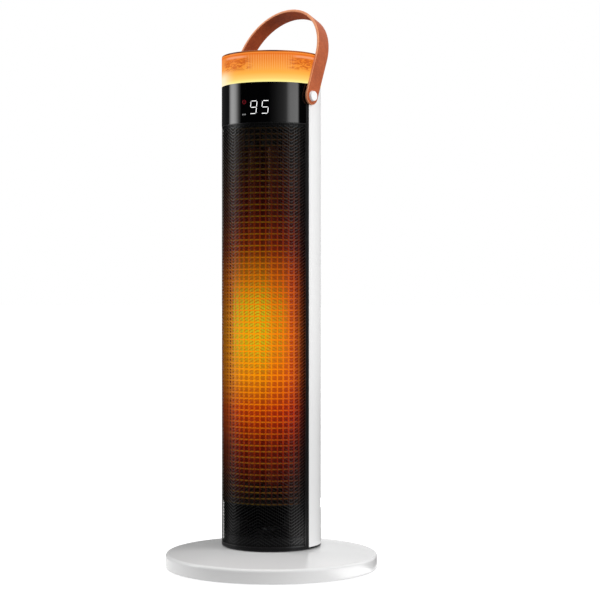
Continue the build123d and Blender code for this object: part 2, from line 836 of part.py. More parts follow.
# Front frame: uprights beside the grille, rails behind its edges, screw tabs and the display shelves.
rail_outer = panel_inner - snug
past_seam = seam_angle + seam_overrun
with BuildPart() as front_frame:
    for level in casing_screw_levels:
        with BuildSketch(Plane.XY.offset(level - tab_height / 2)):
            for side in (-1, 1):
                with Locations((side * (casing_screw_side + tab_outset), seam_y - tab_depth / 2)):
                    Rectangle(tab_width, tab_depth)
        extrude(amount=tab_height)
    with BuildSketch(Plane.XY.offset(shell_bottom)):
        Circle((stile_inner + shell_inner) / 2)
    extrude(amount=column_height, mode=Mode.INTERSECT)
    with BuildSketch(Plane.XY.offset(shell_bottom)):
        add(arc_band(shell_inner, tower_radius, stile_angle, past_seam))
        add(arc_band(shell_inner, tower_radius, -past_seam, -stile_angle))
    extrude(amount=column_height)
    with BuildSketch(Plane.XY.offset(spigot_top + slack)):
        add(arc_band(stile_inner, tower_radius, stile_angle, past_seam))
        add(arc_band(stile_inner, tower_radius, -past_seam, -stile_angle))
    extrude(amount=shell_top - spigot_top - slack)
    with BuildSketch(Plane.XY.offset(shell_bottom)):
        add(arc_band(shell_inner, tower_radius, -past_seam, past_seam))
    extrude(amount=sill_height)
    for bottom, top in ((panel_bottom - rail_drop, display_bottom), (display_top, shell_top)):
        with BuildSketch(Plane.XY.offset(bottom)):
            add(arc_band(stile_inner, rail_outer, -past_seam, past_seam))
        extrude(amount=top - bottom)
    for top in (display_bottom, display_top):
        with BuildSketch(Plane.XY.offset(top)):
            add(arc_band(tower_radius - shelf_reach, rail_outer,
                         display_angle - shelf_half_angle, display_angle + shelf_half_angle))
        extrude(amount=-shelf_thickness)
    for side in boss_planes:
        with BuildSketch(side):
            with Locations((0, pivot_z)):
                Circle(boss_radius)
        extrude(amount=boss_face - boss_inside)
    with BuildSketch(Plane.YZ):
        with Locations((0, pivot_z)):
            Circle(stud_radius + snug)
    extrude(amount=tower_radius + past_skin, both=True, mode=Mode.SUBTRACT)
    split(bisect_by=Plane.XZ.offset(-(seam_y - seam / 2)), keep=Keep.TOP)
    with BuildSketch(Plane.XZ.offset(-seam_y)):
        add(casing_screw_discs(screw_radius + snug))
    extrude(amount=tab_depth + seam, mode=Mode.SUBTRACT)
save(front_frame, "front_frame")

# Perforated front grille, with fewer and larger holes than the real sheet.
grille_height = panel_bottom - grille_bottom - snug
grille_end = stile_angle - grille_side_play
row_pitch = grille_height / (grille_rows + 0.6)
column_pitch = 2 * stile_angle / (grille_columns + 0.4)
with BuildPart() as front_grille:
    with BuildSketch(Plane.XY.offset(grille_bottom)):
        add(arc_band(grille_outer - grille_thickness, grille_outer, -grille_end, grille_end))
    extrude(amount=grille_height)
    for column in range(grille_columns):
        angle = (column - (grille_columns - 1) / 2) * column_pitch
        first_row = 1.05 if column % 2 else 0.55
        for row in range(grille_rows):
            with BuildSketch(facing(angle, grille_outer + past_skin,
                                    grille_bottom + (row + first_row) * row_pitch)):
                with BuildLine():
                    Polyline((-hole_width / 2, 0), (0, -hole_height / 2), (hole_width / 2, 0),
                             (0, hole_height / 2), close=True)
                make_face()
    extrude(amount=-(grille_thickness + 3 * past_skin), mode=Mode.SUBTRACT)
save(front_grille, "front_grille")

panel_end = stile_angle - panel_side_play
with BuildPart() as display_panel:
    with BuildSketch(Plane.XY.offset(panel_bottom)):
        add(arc_band(panel_inner, tower_radius, -panel_end, panel_end))
    extrude(amount=panel_height - snug)
save(display_panel, "display_panel")

# Display board between the two shelves, with its segment module facing the panel.
module_front = sqrt((panel_inner - slack) ** 2 - (display_width / 2) ** 2)
board_front = module_front - display_depth
shelf_space = display_top - shelf_thickness - display_bottom
with BuildPart() as display_board:
    with BuildSketch(facing(display_angle, board_front, display_bottom + shelf_space / 2)):
        Rectangle(display_width + 2 * display_border, shelf_space - 2 * snug)
    extrude(amount=-board_thickness)
save(display_board, "display_board")

with BuildPart() as display_module:
    with BuildSketch(facing(display_angle, board_front, display_bottom + display_seat + display_height / 2)):
        RectangleRounded(display_width, display_height, 1.0)
    extrude(amount=display_depth)
save(display_module, "display_module")


# Brackets at the two ends of the element; their wings reach the frame's uprights.
def tube_bracket(bottom):
    with BuildPart() as bracket:
        with BuildSketch(Plane.XY.offset(bottom)):
            Circle(guard_radius - guard_wire - snug)
            with Locations((0, tower_radius + reflector_lip + bracket_web / 4)):
                Rectangle(2 * tower_radius, 2 * tower_radius, mode=Mode.SUBTRACT)
            wing_inner = guard_radius - bracket_grip
            wing_outer = stile_inner - slack
            wing_first = guard_angle + bracket_side_gap
            wing_last = seam_angle - bracket_side_gap
            add(arc_band(wing_inner, wing_outer, wing_first, wing_last))
            add(arc_band(wing_inner, wing_outer, -wing_last, -wing_first))
            with Locations((0, bracket_web_y)):
                Rectangle(2 * reflector_half_width, bracket_web)
        extrude(amount=bracket_thickness)
    return bracket


save(tube_bracket(element_bottom - bracket_thickness), "lower_tube_bracket")
save(tube_bracket(element_top), "upper_tube_bracket")

# Wire guard in front of the tubes: upright wires welded behind hoops, wider spaced than the real one.
with BuildPart() as element_guard:
    hoop_pitch = (element_height - guard_wire) / (guard_hoops - 1)
    for hoop in range(guard_hoops):
        with BuildSketch(Plane.XY.offset(element_bottom + hoop * hoop_pitch)):
            add(arc_band(guard_radius - guard_wire, guard_radius, -guard_angle, guard_angle))
        extrude(amount=guard_wire)
    wire_spread = degrees(guard_wire / guard_radius) / 2
    with BuildSketch(Plane.XY.offset(element_bottom)):
        for upright in range(guard_uprights):
            angle = (2 * upright / (guard_uprights - 1) - 1) * (guard_angle - wire_spread)
            add(arc_band(guard_radius - 2 * guard_wire, guard_radius - guard_wire,
                         angle - wire_spread, angle + wire_spread))
    extrude(amount=element_height)
save(element_guard, "element_guard")

# Trough reflector: a shallow arc with flat wings, of polished sheet.
reflector_wing = sqrt((guard_radius - 2 * guard_wire - slack) ** 2 - reflector_lip ** 2)
reflector_back = reflector_lip + reflector_thickness
with BuildPart() as reflector:
    with BuildSketch(Plane.XY.offset(element_bottom)):
        with BuildLine():
            front = ThreePointArc((-reflector_half_width, reflector_lip),
                                  (0, reflector_lip + reflector_depth),
                                  (reflector_half_width, reflector_lip))
            back = ThreePointArc((-reflector_half_width, reflector_back),
                                 (0, reflector_back + reflector_depth),
                                 (reflector_half_width, reflector_back))
            for end, side in ((0, -1), (1, 1)):
                Polyline(front @ end, (side * reflector_wing, reflector_lip),
                         (side * reflector_wing, reflector_back), back @ end)
        make_face()
    extrude(amount=element_height)
save(reflector, "reflector")

tube_places = [(-tube_spacing / 2, tube_setback), (tube_spacing / 2, tube_setback)]
tube_start = element_bottom + end_cap_size - end_cap_grip
tube_length = element_height - 2 * (end_cap_size - end_cap_grip)
with BuildPart() as heating_tubes:
    with BuildSketch(Plane.XY.offset(tube_start)):
        with Locations(*tube_places):
            Circle(tube_radius)
            Circle(tube_radius - tube_wall, mode=Mode.SUBTRACT)
    extrude(amount=tube_length)
save(heating_tubes, "heating_tubes")

# Filaments: the envelope of each coil, with a thinner tail into both ceramic caps.
with BuildPart() as heating_filaments:
    with BuildSketch(Plane.XY.offset(tube_start)):
        with Locations(*tube_places):
            Circle(tail_radius)
    extrude(amount=tube_length)
    with BuildSketch(Plane.XY.offset(tube_start + coil_end)):
        with Locations(*tube_places):
            Circle(coil_radius)
    extrude(amount=tube_length - 2 * coil_end)
save(heating_filaments, "heating_filaments")

with BuildPart() as tube_end_caps:
    for level in (element_bottom, element_top - end_cap_size):
        with BuildSketch(Plane.XY.offset(level)):
            with Locations(*tube_places):
                RectangleRounded(end_cap_size, end_cap_size, end_cap_corner)
        extrude(amount=end_cap_size)
    with BuildSketch(Plane.XY.offset(tube_start)):
        with Locations(*tube_places):
            Circle(tube_radius + snug)
    extrude(amount=tube_length, mode=Mode.SUBTRACT)
save(tube_end_caps, "tube_end_caps")

# Thermal cut-out: a snap disc with a flange, held against the back of the reflector.
cutout_plane = Plane.XZ.offset(-(reflector_back + reflector_depth + snug))
cutout_z = element_top - cutout_drop
with BuildPart() as thermal_cutout:
    with BuildSketch(cutout_plane):
        with Locations((0, cutout_z)):
            Circle(cutout_radius)
    extrude(amount=-cutout_height)
    with BuildSketch(cutout_plane.offset(-cutout_ear_lift)):
        with Locations((0, cutout_z)):
            SlotCenterToCenter(cutout_ear_length, cutout_ear_width)
    extrude(amount=-cutout_ear_thickness)
    with BuildSketch(cutout_plane.offset(-cutout_height)):
        with Locations((0, cutout_z)):
            add(spade_pair())
    extrude(amount=-spade_length)
save(thermal_cutout, "thermal_cutout")

# Power board on the casing's posts, and what it carries on the side facing back.
with BuildPart() as power_board:
    with BuildSketch(board_back):
        with Locations((0, board_middle)):
            Rectangle(board_width, board_screw_span + 2 * board_end)
        add(board_screw_discs(screw_radius + snug), mode=Mode.SUBTRACT)
    extrude(amount=board_thickness)
save(power_board, "power_board")

with BuildPart() as power_board_parts:
    with BuildSketch(board_back):
        for side in (-1, 1):
            with Locations((0, board_middle + relay_place + side * relay_pitch / 2)):
                Rectangle(relay_width, relay_length)
    extrude(amount=-relay_height)
    with BuildSketch(board_back):
        with Locations((0, board_middle + transformer_place)):
            Rectangle(transformer_width, transformer_length)
    extrude(amount=-transformer_height)
    with BuildSketch(board_back):
        for side in (-1, 1):
            with Locations((side * capacitor_spread / 2, board_middle + capacitor_place)):
                Circle(capacitor_radius)
    extrude(amount=-capacitor_height)
save(power_board_parts, "power_board_parts")

board_screw_plane = Plane.XZ.offset(-board_y)
with BuildPart() as board_screws:
    with BuildSketch(board_screw_plane):
        add(board_screw_discs(screw_head_radius))
    extrude(amount=screw_head_height)
    with BuildSketch(board_screw_plane):
        add(board_screw_discs(screw_radius))
    extrude(amount=-board_screw_length)
save(board_screws, "board_screws")

# Head deck on the casing's posts and the frame's shelf, notched for the strap's nuts, with pillars that
# carry the touch board.
led_circle = ring_inner - led_setback
core_outer = led_circle - led_size / 2 - core_gap
core_inner = core_outer - core_wall
touch_board_radius = core_inner - touch_margin
pillar_circle = touch_board_radius - pillar_margin
led_board_bottom = deck_top
led_board_top = deck_top + board_thickness
with BuildPart() as head_deck:
    with BuildSketch(Plane.XY.offset(deck_bottom)):
        Circle(stile_inner - deck_edge)
        Circle(deck_opening, mode=Mode.SUBTRACT)
        for side in (-1, 1):
            with Locations((side * stile_inner, 0)):
                Rectangle(2 * (stile_inner - stud_inside + slack), 2 * (boss_radius + slack),
                          mode=Mode.SUBTRACT)
    extrude(amount=deck_thickness)
    with BuildSketch(Plane.XY.offset(deck_top)):
        add(pillar_discs(pillar_radius))
    extrude(amount=touch_bottom - deck_top)
save(head_deck, "head_deck")

with BuildPart() as led_ring_board:
    with BuildSketch(Plane.XY.offset(led_board_bottom)):
        Circle(ring_inner - deck_edge)
        Circle(core_inner - core_wall, mode=Mode.SUBTRACT)
    extrude(amount=board_thickness)
save(led_ring_board, "led_ring_board")

with BuildPart() as led_chips:
    with BuildSketch(Plane.XY.offset(led_board_top)):
        with PolarLocations(led_circle, led_count):
            Rectangle(led_size, led_size)
    extrude(amount=led_height)
save(led_chips, "led_chips")

with BuildPart() as light_core:
    with BuildSketch(Plane.XY.offset(led_board_top)):
        Circle(core_outer)
        Circle(core_inner, mode=Mode.SUBTRACT)
    extrude(amount=ring_top - core_top_gap - led_board_top)
save(light_core, "light_core")

# Translucent ring that stands on the shells, with a small rebate inside for the cover's skirt.
ring_foot_inner = shell_inner + snug
rebate_radius = ring_inner + ring_rebate_width
rebate_bottom = ring_top - ring_rebate_depth
foot_top = shell_top + ring_foot_height
with BuildPart() as light_ring:
    with BuildSketch(Plane.XZ):
        with BuildLine():
            Polyline((ring_foot_inner, shell_top), (tower_radius, shell_top), (tower_radius, ring_top),
                     (rebate_radius, ring_top), (rebate_radius, rebate_bottom),
                     (ring_inner, rebate_bottom), (ring_inner, foot_top), (ring_foot_inner, foot_top),
                     close=True)
        make_face()
    revolve(axis=Axis.Z)
    chamfer(light_ring.edges().filter_by(GeomType.CIRCLE).group_by(SortBy.RADIUS)[-1], ring_edge)
save(light_ring, "light_ring")

# Top cover: a flush touch disc with a shallow dish, a centring skirt and posts for the touch board.
skirt_outer = rebate_radius - slack
skirt_inner = skirt_outer - skirt_wall
cover_radius = tower_radius - grille_inset
cover_top = ring_top + cover_thickness
dish_bottom = cover_top - dish_depth
with BuildPart() as top_cover:
    with BuildSketch(Plane.XZ):
        with BuildLine():
            Polyline((0, ring_top), (skirt_inner, ring_top), (skirt_inner, ring_top - skirt_height),
                     (skirt_outer, ring_top - skirt_height), (skirt_outer, ring_top),
                     (cover_radius, ring_top), (cover_radius, cover_top),
                     (cover_radius - dish_margin, cover_top),
                     (cover_radius - dish_margin - dish_slope, dish_bottom), (0, dish_bottom), close=True)
        make_face()
    revolve(axis=Axis.Z)
    outer_edges = top_cover.edges().filter_by(GeomType.CIRCLE).group_by(SortBy.RADIUS)[-1]
    fillet(outer_edges.sort_by(Axis.Z)[-1], cover_edge_round)
    with BuildSketch(Plane.XY.offset(touch_bottom + board_thickness)):
        add(pillar_discs(post_radius))
    extrude(amount=ring_top + cover_thickness / 4 - touch_bottom - board_thickness)
save(top_cover, "top_cover")

with BuildPart() as touch_board:
    with BuildSketch(Plane.XY.offset(touch_bottom)):
        Circle(touch_board_radius)
    extrude(amount=board_thickness)
save(touch_board, "touch_board")

# Strap studs: a domed cap outside the strap, a shank through the boss and a washer and nut inside.
stud_sides = (Plane.YZ, Plane(origin=(0, 0, 0), x_dir=(0, -1, 0), z_dir=(-1, 0, 0)))
cap_base = strap_outer + stud_cap_gap
with BuildPart() as handle_studs:
    for side in stud_sides:
        with BuildSketch(side.offset(stud_inside)):
            with Locations((0, pivot_z)):
                Circle(stud_radius)
        extrude(amount=cap_base - stud_inside)
        with BuildSketch(side.offset(cap_base)):
            with Locations((0, pivot_z)):
                Circle(stud_cap_radius)
        extrude(amount=stud_cap_height, taper=stud_cap_taper)
save(handle_studs, "handle_studs")

with BuildPart() as handle_washers:
    for side in stud_sides:
        with BuildSketch(side.offset(boss_face)):
            with Locations((0, pivot_z)):
                Circle(boss_radius)
                Circle(stud_radius + snug, mode=Mode.SUBTRACT)
        extrude(amount=strap_washer_thickness)
save(handle_washers, "handle_washers")

with BuildPart() as stud_nuts:
    for side in stud_sides:
        nut_face = side.offset(boss_inside - nut_flange_thickness)
        with BuildSketch(nut_face):
            with Locations((0, pivot_z)):
                Circle(boss_radius - snug)
                Circle(stud_radius + snug, mode=Mode.SUBTRACT)
        extrude(amount=nut_flange_thickness)
        with BuildSketch(nut_face):
            with Locations((0, pivot_z)):
                RegularPolygon(nut_radius, 6)
                Circle(stud_radius + snug, mode=Mode.SUBTRACT)
        extrude(amount=-nut_thickness)
save(stud_nuts, "stud_nuts")

# Carrying strap: two straight legs, easy shoulders and a round crown, leaning back at rest.
strap_centre = strap_inner + strap_thickness / 2
lean = radians(strap_lean)
strap_plane = Plane(origin=(0, 0, pivot_z), x_dir=(1, 0, 0), z_dir=(0, -cos(lean), sin(lean)))
strap_side_plane = Plane(origin=(0, 0, pivot_z), x_dir=(0, cos(lean), -sin(lean)), z_dir=(1, 0, 0))
turn = radians(strap_shoulder_turn)
hip_x = strap_centre - strap_shoulder_radius
shoulder_x = hip_x + strap_shoulder_radius * cos(turn)
shoulder_y = strap_leg + strap_shoulder_radius * sin(turn)
crown_radius = shoulder_x / cos(turn)
crown_y = shoulder_y - crown_radius * sin(turn)
crown_top = crown_y + crown_radius + strap_thickness


# One face of the strap, at a distance outside its middle line.
def strap_line(shift):
    shoulder = strap_shoulder_radius + shift
    crown = crown_radius + shift
    leg_x = strap_centre + shift
    with BuildLine() as line:
        for side in (1, -1):
            Line((side * leg_x, -strap_width / 2), (side * leg_x, strap_leg))
            ThreePointArc((side * leg_x, strap_leg),
                          (side * (hip_x + shoulder * cos(turn / 2)), strap_leg + shoulder * sin(turn / 2)),
                          (side * (hip_x + shoulder * cos(turn)), strap_leg + shoulder * sin(turn)))
        ThreePointArc((crown * cos(turn), crown_y + crown * sin(turn)), (0, crown_y + crown),
                      (-crown * cos(turn), crown_y + crown * sin(turn)))
    return line.line


with BuildPart() as handle_strap:
    with BuildSketch(strap_plane):
        with BuildLine():
            add(strap_line(strap_thickness / 2))
            add(strap_line(-strap_thickness / 2))
            for side in (1, -1):
                Line((side * strap_inner, -strap_width / 2), (side * strap_outer, -strap_width / 2))
        make_face()
    extrude(amount=strap_width / 2, both=True)
    with BuildSketch(strap_side_plane):
        Circle(strap_width / 2)
        with Locations((0, crown_top / 2)):
            Rectangle(strap_width, crown_top)
    extrude(amount=strap_outer + past_skin, both=True, mode=Mode.INTERSECT)
    with BuildSketch(Plane.YZ):
        with Locations((0, pivot_z)):
            Circle(stud_radius + running)
    extrude(amount=strap_outer + past_skin, both=True, mode=Mode.SUBTRACT)
save(handle_strap, "handle_strap")

# Main switch housing: bezel in the pocket, body behind it and a window in which the rocker tilts.
with BuildPart() as power_switch_housing:
    with BuildSketch(facing(switch_angle, pocket_floor, switch_z)):
        RectangleRounded(bezel_width, bezel_height, bezel_corner)
    extrude(amount=bezel_thickness)
    with BuildSketch(facing(switch_angle, pocket_floor, switch_z)):
        Rectangle(switch_body_width, switch_body_height)
    extrude(amount=-switch_body_depth)
    with BuildSketch(facing(switch_angle, bezel_front, switch_z)):
        Rectangle(rocker_width + 2 * rocker_swing_room, rocker_height + 2 * slack)
    extrude(amount=-(rocker_depth + rocker_well), mode=Mode.SUBTRACT)
    with BuildSketch(Plane.XY.offset(switch_z)):
        with Locations(around(switch_angle, pin_circle)):
            Circle(rocker_pin_radius + running)
    extrude(amount=rocker_height / 2 + rocker_pin_reach + snug, both=True, mode=Mode.SUBTRACT)
    with BuildSketch(facing(switch_angle, pocket_floor - switch_body_depth, switch_z)):
        add(spade_pair())
    extrude(amount=-spade_length)
save(power_switch_housing, "power_switch_housing")

# Rocker: a shallow V across the window on a pin, resting with its far end pressed in.
pin_x, pin_y = around(switch_angle, pin_circle)
rest_turn = radians(switch_angle + rocker_tilt)
rocker_plane = Plane(origin=(pin_x, pin_y, switch_z), z_dir=(0, 0, 1),
                     x_dir=(cos(rest_turn), sin(rest_turn), 0))
rocker_half = rocker_width / 2
rocker_centre = bezel_front + rocker_proud - pin_circle
rocker_tip = rocker_centre + rocker_half * tan(radians(rocker_tilt))
rocker_shoulder = rocker_edge - rocker_tip
rocker_back = rocker_depth - rocker_centre
with BuildPart() as power_rocker:
    with BuildSketch(rocker_plane):
        with BuildLine():
            Polyline((0, -rocker_centre), (rocker_half, -rocker_tip), (rocker_half, rocker_shoulder),
                     (rocker_heel, rocker_back), (-rocker_heel, rocker_back),
                     (-rocker_half, rocker_shoulder), (-rocker_half, -rocker_tip), close=True)
        make_face()
    extrude(amount=rocker_height / 2, both=True)
    with BuildSketch(rocker_plane):
        Circle(rocker_pin_radius)
    extrude(amount=rocker_height / 2 + rocker_pin_reach, both=True)
save(power_rocker, "power_rocker")
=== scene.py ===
import json
from math import ceil, cos, degrees, floor, hypot, pi, radians, sin, tan, tau

import bpy
import numpy as np
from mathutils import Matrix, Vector


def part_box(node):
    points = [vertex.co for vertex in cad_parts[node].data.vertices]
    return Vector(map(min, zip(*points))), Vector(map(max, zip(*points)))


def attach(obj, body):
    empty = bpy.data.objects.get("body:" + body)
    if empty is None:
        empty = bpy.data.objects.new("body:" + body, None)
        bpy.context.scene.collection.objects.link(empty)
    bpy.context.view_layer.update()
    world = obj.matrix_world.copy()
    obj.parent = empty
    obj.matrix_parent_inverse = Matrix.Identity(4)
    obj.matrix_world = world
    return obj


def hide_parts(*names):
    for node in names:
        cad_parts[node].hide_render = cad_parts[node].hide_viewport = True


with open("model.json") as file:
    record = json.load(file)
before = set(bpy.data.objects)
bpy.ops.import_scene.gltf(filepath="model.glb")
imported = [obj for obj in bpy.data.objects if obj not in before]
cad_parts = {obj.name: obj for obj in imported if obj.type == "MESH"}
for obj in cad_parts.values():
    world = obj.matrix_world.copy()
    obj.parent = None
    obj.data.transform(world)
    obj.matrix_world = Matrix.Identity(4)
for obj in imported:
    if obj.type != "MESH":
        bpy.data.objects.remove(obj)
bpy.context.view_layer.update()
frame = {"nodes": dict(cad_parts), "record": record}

# Angles round the column are counted from its front, positive towards +X.
scene = bpy.context.scene
mm = 0.001
columnRadius = 0.054

view = {
    "turn": 40.66,        # degrees to the right of the heater's front
    "distance": 1.7517,
    "height": 0.2968,
    "lens": 96.54,
    "shiftX": 0.0477,
    "shiftY": -0.0096,
}


def makeCamera():
    turn = radians(view["turn"])
    data = bpy.data.cameras.new("photoCamera")
    data.lens, data.shift_x, data.shift_y = view["lens"], view["shiftX"], view["shiftY"]
    camera = bpy.data.objects.new("photoCamera", data)
    camera.location = (view["distance"] * sin(turn), -view["distance"] * cos(turn), view["height"])
    camera.rotation_euler = (pi / 2, 0, turn)
    scene.collection.objects.link(camera)
    scene.camera = camera


makeCamera()
print("camera placed")


# Each named input gets a plain value, or a link where the value is a socket itself.
def feed(node, values):
    for key, value in values.items():
        socket = node.inputs[key]
        if isinstance(value, bpy.types.NodeSocket):
            value.id_data.links.new(value, socket)
        elif socket.type == "RGBA" and len(value) == 3:
            socket.default_value = (*value, 1)
        else:
            socket.default_value = value


# The node joins the tree of the sockets that feed it, or of the node or tree given as its place.
def addNode(kind, inputs={}, place=None, **settings):
    place = place or next(value for value in inputs.values() if isinstance(value, bpy.types.NodeSocket))
    made = place.id_data.nodes.new("ShaderNode" + kind)
    for key, value in settings.items():
        setattr(made, key, value)
    feed(made, inputs)
    return made


def calc(operation, first, second=0.0, third=0.0, clamp=False):
    return addNode("Math", {0: first, 1: second, 2: third}, operation=operation, use_clamp=clamp).outputs[0]


def multiply(first, *others):
    for other in others:
        first = calc("MULTIPLY", first, other)
    return first


def vectorCalc(operation, inputs, output=0):
    return addNode("VectorMath", inputs, operation=operation).outputs[output]


def remap(value, low, high, newLow=0.0, newHigh=1.0, kind="SMOOTHSTEP"):
    inputs = {0: value, 1: low, 2: high, 3: newLow, 4: newHigh}
    return addNode("MapRange", inputs, interpolation_type=kind).outputs[0]


# Rises from 0 to 1 between the first two places and falls back to 0 between the last two.
def window(value, start, full, falling, end):
    return multiply(remap(value, start, full), remap(value, falling, end, 1.0, 0.0))


def mixColour(factor, first, second, blend="MIX"):
    return addNode("Mix", {0: factor, 6: first, 7: second}, data_type="RGBA", blend_type=blend).outputs[2]


# Stops are place, red, green and blue, with the colours in thousandths unless another unit is given.
def ramp(value, stops, unit=1000):
    made = addNode("ValToRGB", {0: value})
    elements = made.color_ramp.elements
    while len(elements) < len(stops):
        elements.new(0.5)
    for element, (place, *colour) in zip(elements, stops):
        element.position = place
        element.color = (*[part / unit for part in colour], 1)
    return made.outputs[0]


def noise(point, scale, detail=2.0, roughness=0.5, output=0):
    inputs = {"Vector": point, "Scale": scale, "Detail": detail, "Roughness": roughness}
    return addNode("TexNoise", inputs).outputs[output]


def objectPoint(place):
    return addNode("TexCoord", place=place).outputs["Object"]


def splitPoint(place):
    return addNode("SeparateXYZ", {0: objectPoint(place)}).outputs


def angleRound(parts):
    return calc("ARCTAN2", parts[0], multiply(parts[1], -1.0))


def flatPoint(parts):
    return addNode("CombineXYZ", {0: parts[0], 1: parts[1]}).outputs[0]


def length(vector):
    return vectorCalc("LENGTH", {0: vector}, "Value")


# Inputs come with their usual values. An output called Colour is a colour, and any other a number.
def newGroup(name, inputs, outputs):
    tree = bpy.data.node_groups.new(name, "ShaderNodeTree")
    for label, value in inputs.items():
        kind = "Float" if isinstance(value, float) else "Vector" if len(value) == 3 else "Color"
        socket = tree.interface.new_socket(name=label, in_out="INPUT", socket_type="NodeSocket" + kind)
        socket.default_value = value
    for label in outputs:
        kind = "Color" if label == "Colour" else "Float"
        tree.interface.new_socket(name=label, in_out="OUTPUT", socket_type="NodeSocket" + kind)
    return tree, tree.nodes.new("NodeGroupInput").outputs, tree.nodes.new("NodeGroupOutput")


def useGroup(place, name, inputs={}):
    return addNode("Group", inputs, place, node_tree=bpy.data.node_groups[name]).outputs


materials = {}


def shaderOf(name):
    return materials[name].node_tree.nodes["Principled BSDF"]


def newMaterial(name, inputs={}):
    materials[name] = bpy.data.materials.new(name)
    materials[name].use_nodes = True
    feed(shaderOf(name), inputs)
    return shaderOf(name)


def addBump(shader, depth, height):
    bump = addNode("Bump", {"Strength": 1.0, "Distance": depth * mm, "Height": height})
    feed(shader, {"Normal": bump.outputs[0]})


def addGlow(name, colour, strength=1.0):
    feed(shaderOf(name), {"Emission Color": colour, "Emission Strength": strength})
    materials[name].cycles.emission_sampling = "NONE"


glowEdges = {
    "Bottom": 73.5 * mm,
    "Top": 473.5 * mm,
    "Left Angle": radians(-49.0),       # where the glow has faded on each side
    "Right Angle": radians(88.0),
    "Pale Edge": -14 * mm,              # the painted reflection on the ground turns from pale to red between these
    "Red Edge": 32 * mm,
}
glowFacing = radians(25.0)              # the lit zone looks the way that the figures do
guard = {
    "outer": 51.2 * mm,
    "hoopWire": 0.7 * mm,           # radii of the two wires
    "uprightWire": 0.75 * mm,
    "weld": 0.1 * mm,               # depth to which the uprights sink into the hoops
    "hoops": 65,
    "halfAngle": 78.0,
    "uprights": 23,
    "uprightStep": 6.8,
    "points": (40, 9),              # along a hoop and along an upright
    "sides": 8,
    "hoopEdge": (0.07, 0.2),        # where a wire's glow on the sheet ends, as shares of the wires' step
    "uprightEdge": (0.07, 0.18),
}


# Fine moulded, painted or drawn surface: a slow drift in tone, uneven gloss and a height for the bump.
def makeSurfaceGrain():
    tree, given, result = newGroup("surfaceGrain", {
        "Colour": (0.5, 0.5, 0.5, 1), "Tone Spread": 0.02, "Roughness": 0.3, "Gloss Spread": 0.05,
        "Grain Size": 0.001, "Stretch": (1, 1, 1)}, ("Colour", "Roughness", "Height"))
    stretched = vectorCalc("MULTIPLY", {0: objectPoint(tree), 1: given["Stretch"]})
    scaled = vectorCalc("SCALE", {0: stretched, 3: calc("DIVIDE", 1.0, given["Grain Size"])})
    grain, drift = noise(scaled, 1.0, 3.0), noise(stretched, 24.0)
    both = calc("MULTIPLY_ADD", grain, 0.4, multiply(drift, 0.6))
    tone = calc("MULTIPLY_ADD", calc("SUBTRACT", both, 0.5), given["Tone Spread"], 1.0)
    gloss = calc("MULTIPLY_ADD", calc("SUBTRACT", drift, 0.5), given["Gloss Spread"], given["Roughness"], True)
    shaded = vectorCalc("SCALE", {0: given["Colour"], 3: tone})
    feed(result, {"Colour": shaded, "Roughness": gloss, "Height": grain})


# Masks for the element's glow, its own on the filaments and painted on the parts round them: Level runs from
# the bottom of the element to its top, Across from its left side to its right round the skin, Pale is the near
# side of the ground's painted reflection, and Line and Upright mark the guard's wires, whose glow is painted on
# the sheet.
def makeGlowField():
    tree, given, result = newGroup("elementGlowField", glowEdges, ("Level", "Across", "Pale", "Line", "Upright"))
    parts = splitPoint(tree)
    angle = angleRound(parts)
    side = calc("MULTIPLY_ADD", parts[0], cos(glowFacing), multiply(parts[1], sin(glowFacing)))

    def onWire(value, first, step, edge):
        count = calc("DIVIDE", calc("SUBTRACT", value, first), step)
        share = calc("FRACT", calc("ADD", count, 0.5))
        return remap(calc("ABSOLUTE", calc("SUBTRACT", share, 0.5)), *edge, 1.0, 0.0)

    firstHoop = glowEdges["Bottom"] + guard["hoopWire"]
    hoopStep = (glowEdges["Top"] - guard["hoopWire"] - firstHoop) / (guard["hoops"] - 1)
    step = radians(guard["uprightStep"])
    feed(result, {
        "Level": remap(parts[2], given["Bottom"], given["Top"], kind="LINEAR"),
        "Across": remap(angle, given["Left Angle"], given["Right Angle"], kind="LINEAR"),
        "Pale": remap(side, given["Pale Edge"], given["Red Edge"], 1.0, 0.0),
        "Line": onWire(parts[2], firstHoop, hoopStep, guard["hoopEdge"]),
        "Upright": onWire(angle, -step * (guard["uprights"] - 1) / 2, step, guard["uprightEdge"])})


# Tanned hide: close pebbles, a few pores and a slow drift in colour.
def makeHide():
    tree, given, result = newGroup("hide", {
        "Light": (0.5, 0.15, 0.06, 1), "Dark": (0.3, 0.07, 0.03, 1), "Pebble Size": 0.0007},
        ("Colour", "Roughness", "Height"))
    place = objectPoint(tree)
    scaled = vectorCalc("SCALE", {0: place, 3: calc("DIVIDE", 1.0, given["Pebble Size"])})
    bent = vectorCalc("ADD", {0: scaled, 1: noise(scaled, 0.6, output="Color")})
    pebbles = addNode("TexVoronoi", {"Vector": bent, "Scale": 1.0}, feature="SMOOTH_F1").outputs["Distance"]
    drift, fibre = noise(place, 55.0, 4.0, 0.6), noise(place, 420.0, 3.0)
    shade = calc("MULTIPLY_ADD", drift, 0.55, multiply(fibre, 0.45))
    feed(result, {
        "Colour": mixColour(remap(shade, 0.33, 0.66), given["Dark"], given["Light"]),
        "Roughness": remap(pebbles, 0.0, 0.8, 0.42, 0.62),
        "Height": calc("MULTIPLY_ADD", fibre, 0.35, calc("SUBTRACT", 1.0, pebbles))})


makeSurfaceGrain()
makeGlowField()
makeHide()
print("shared effects built")

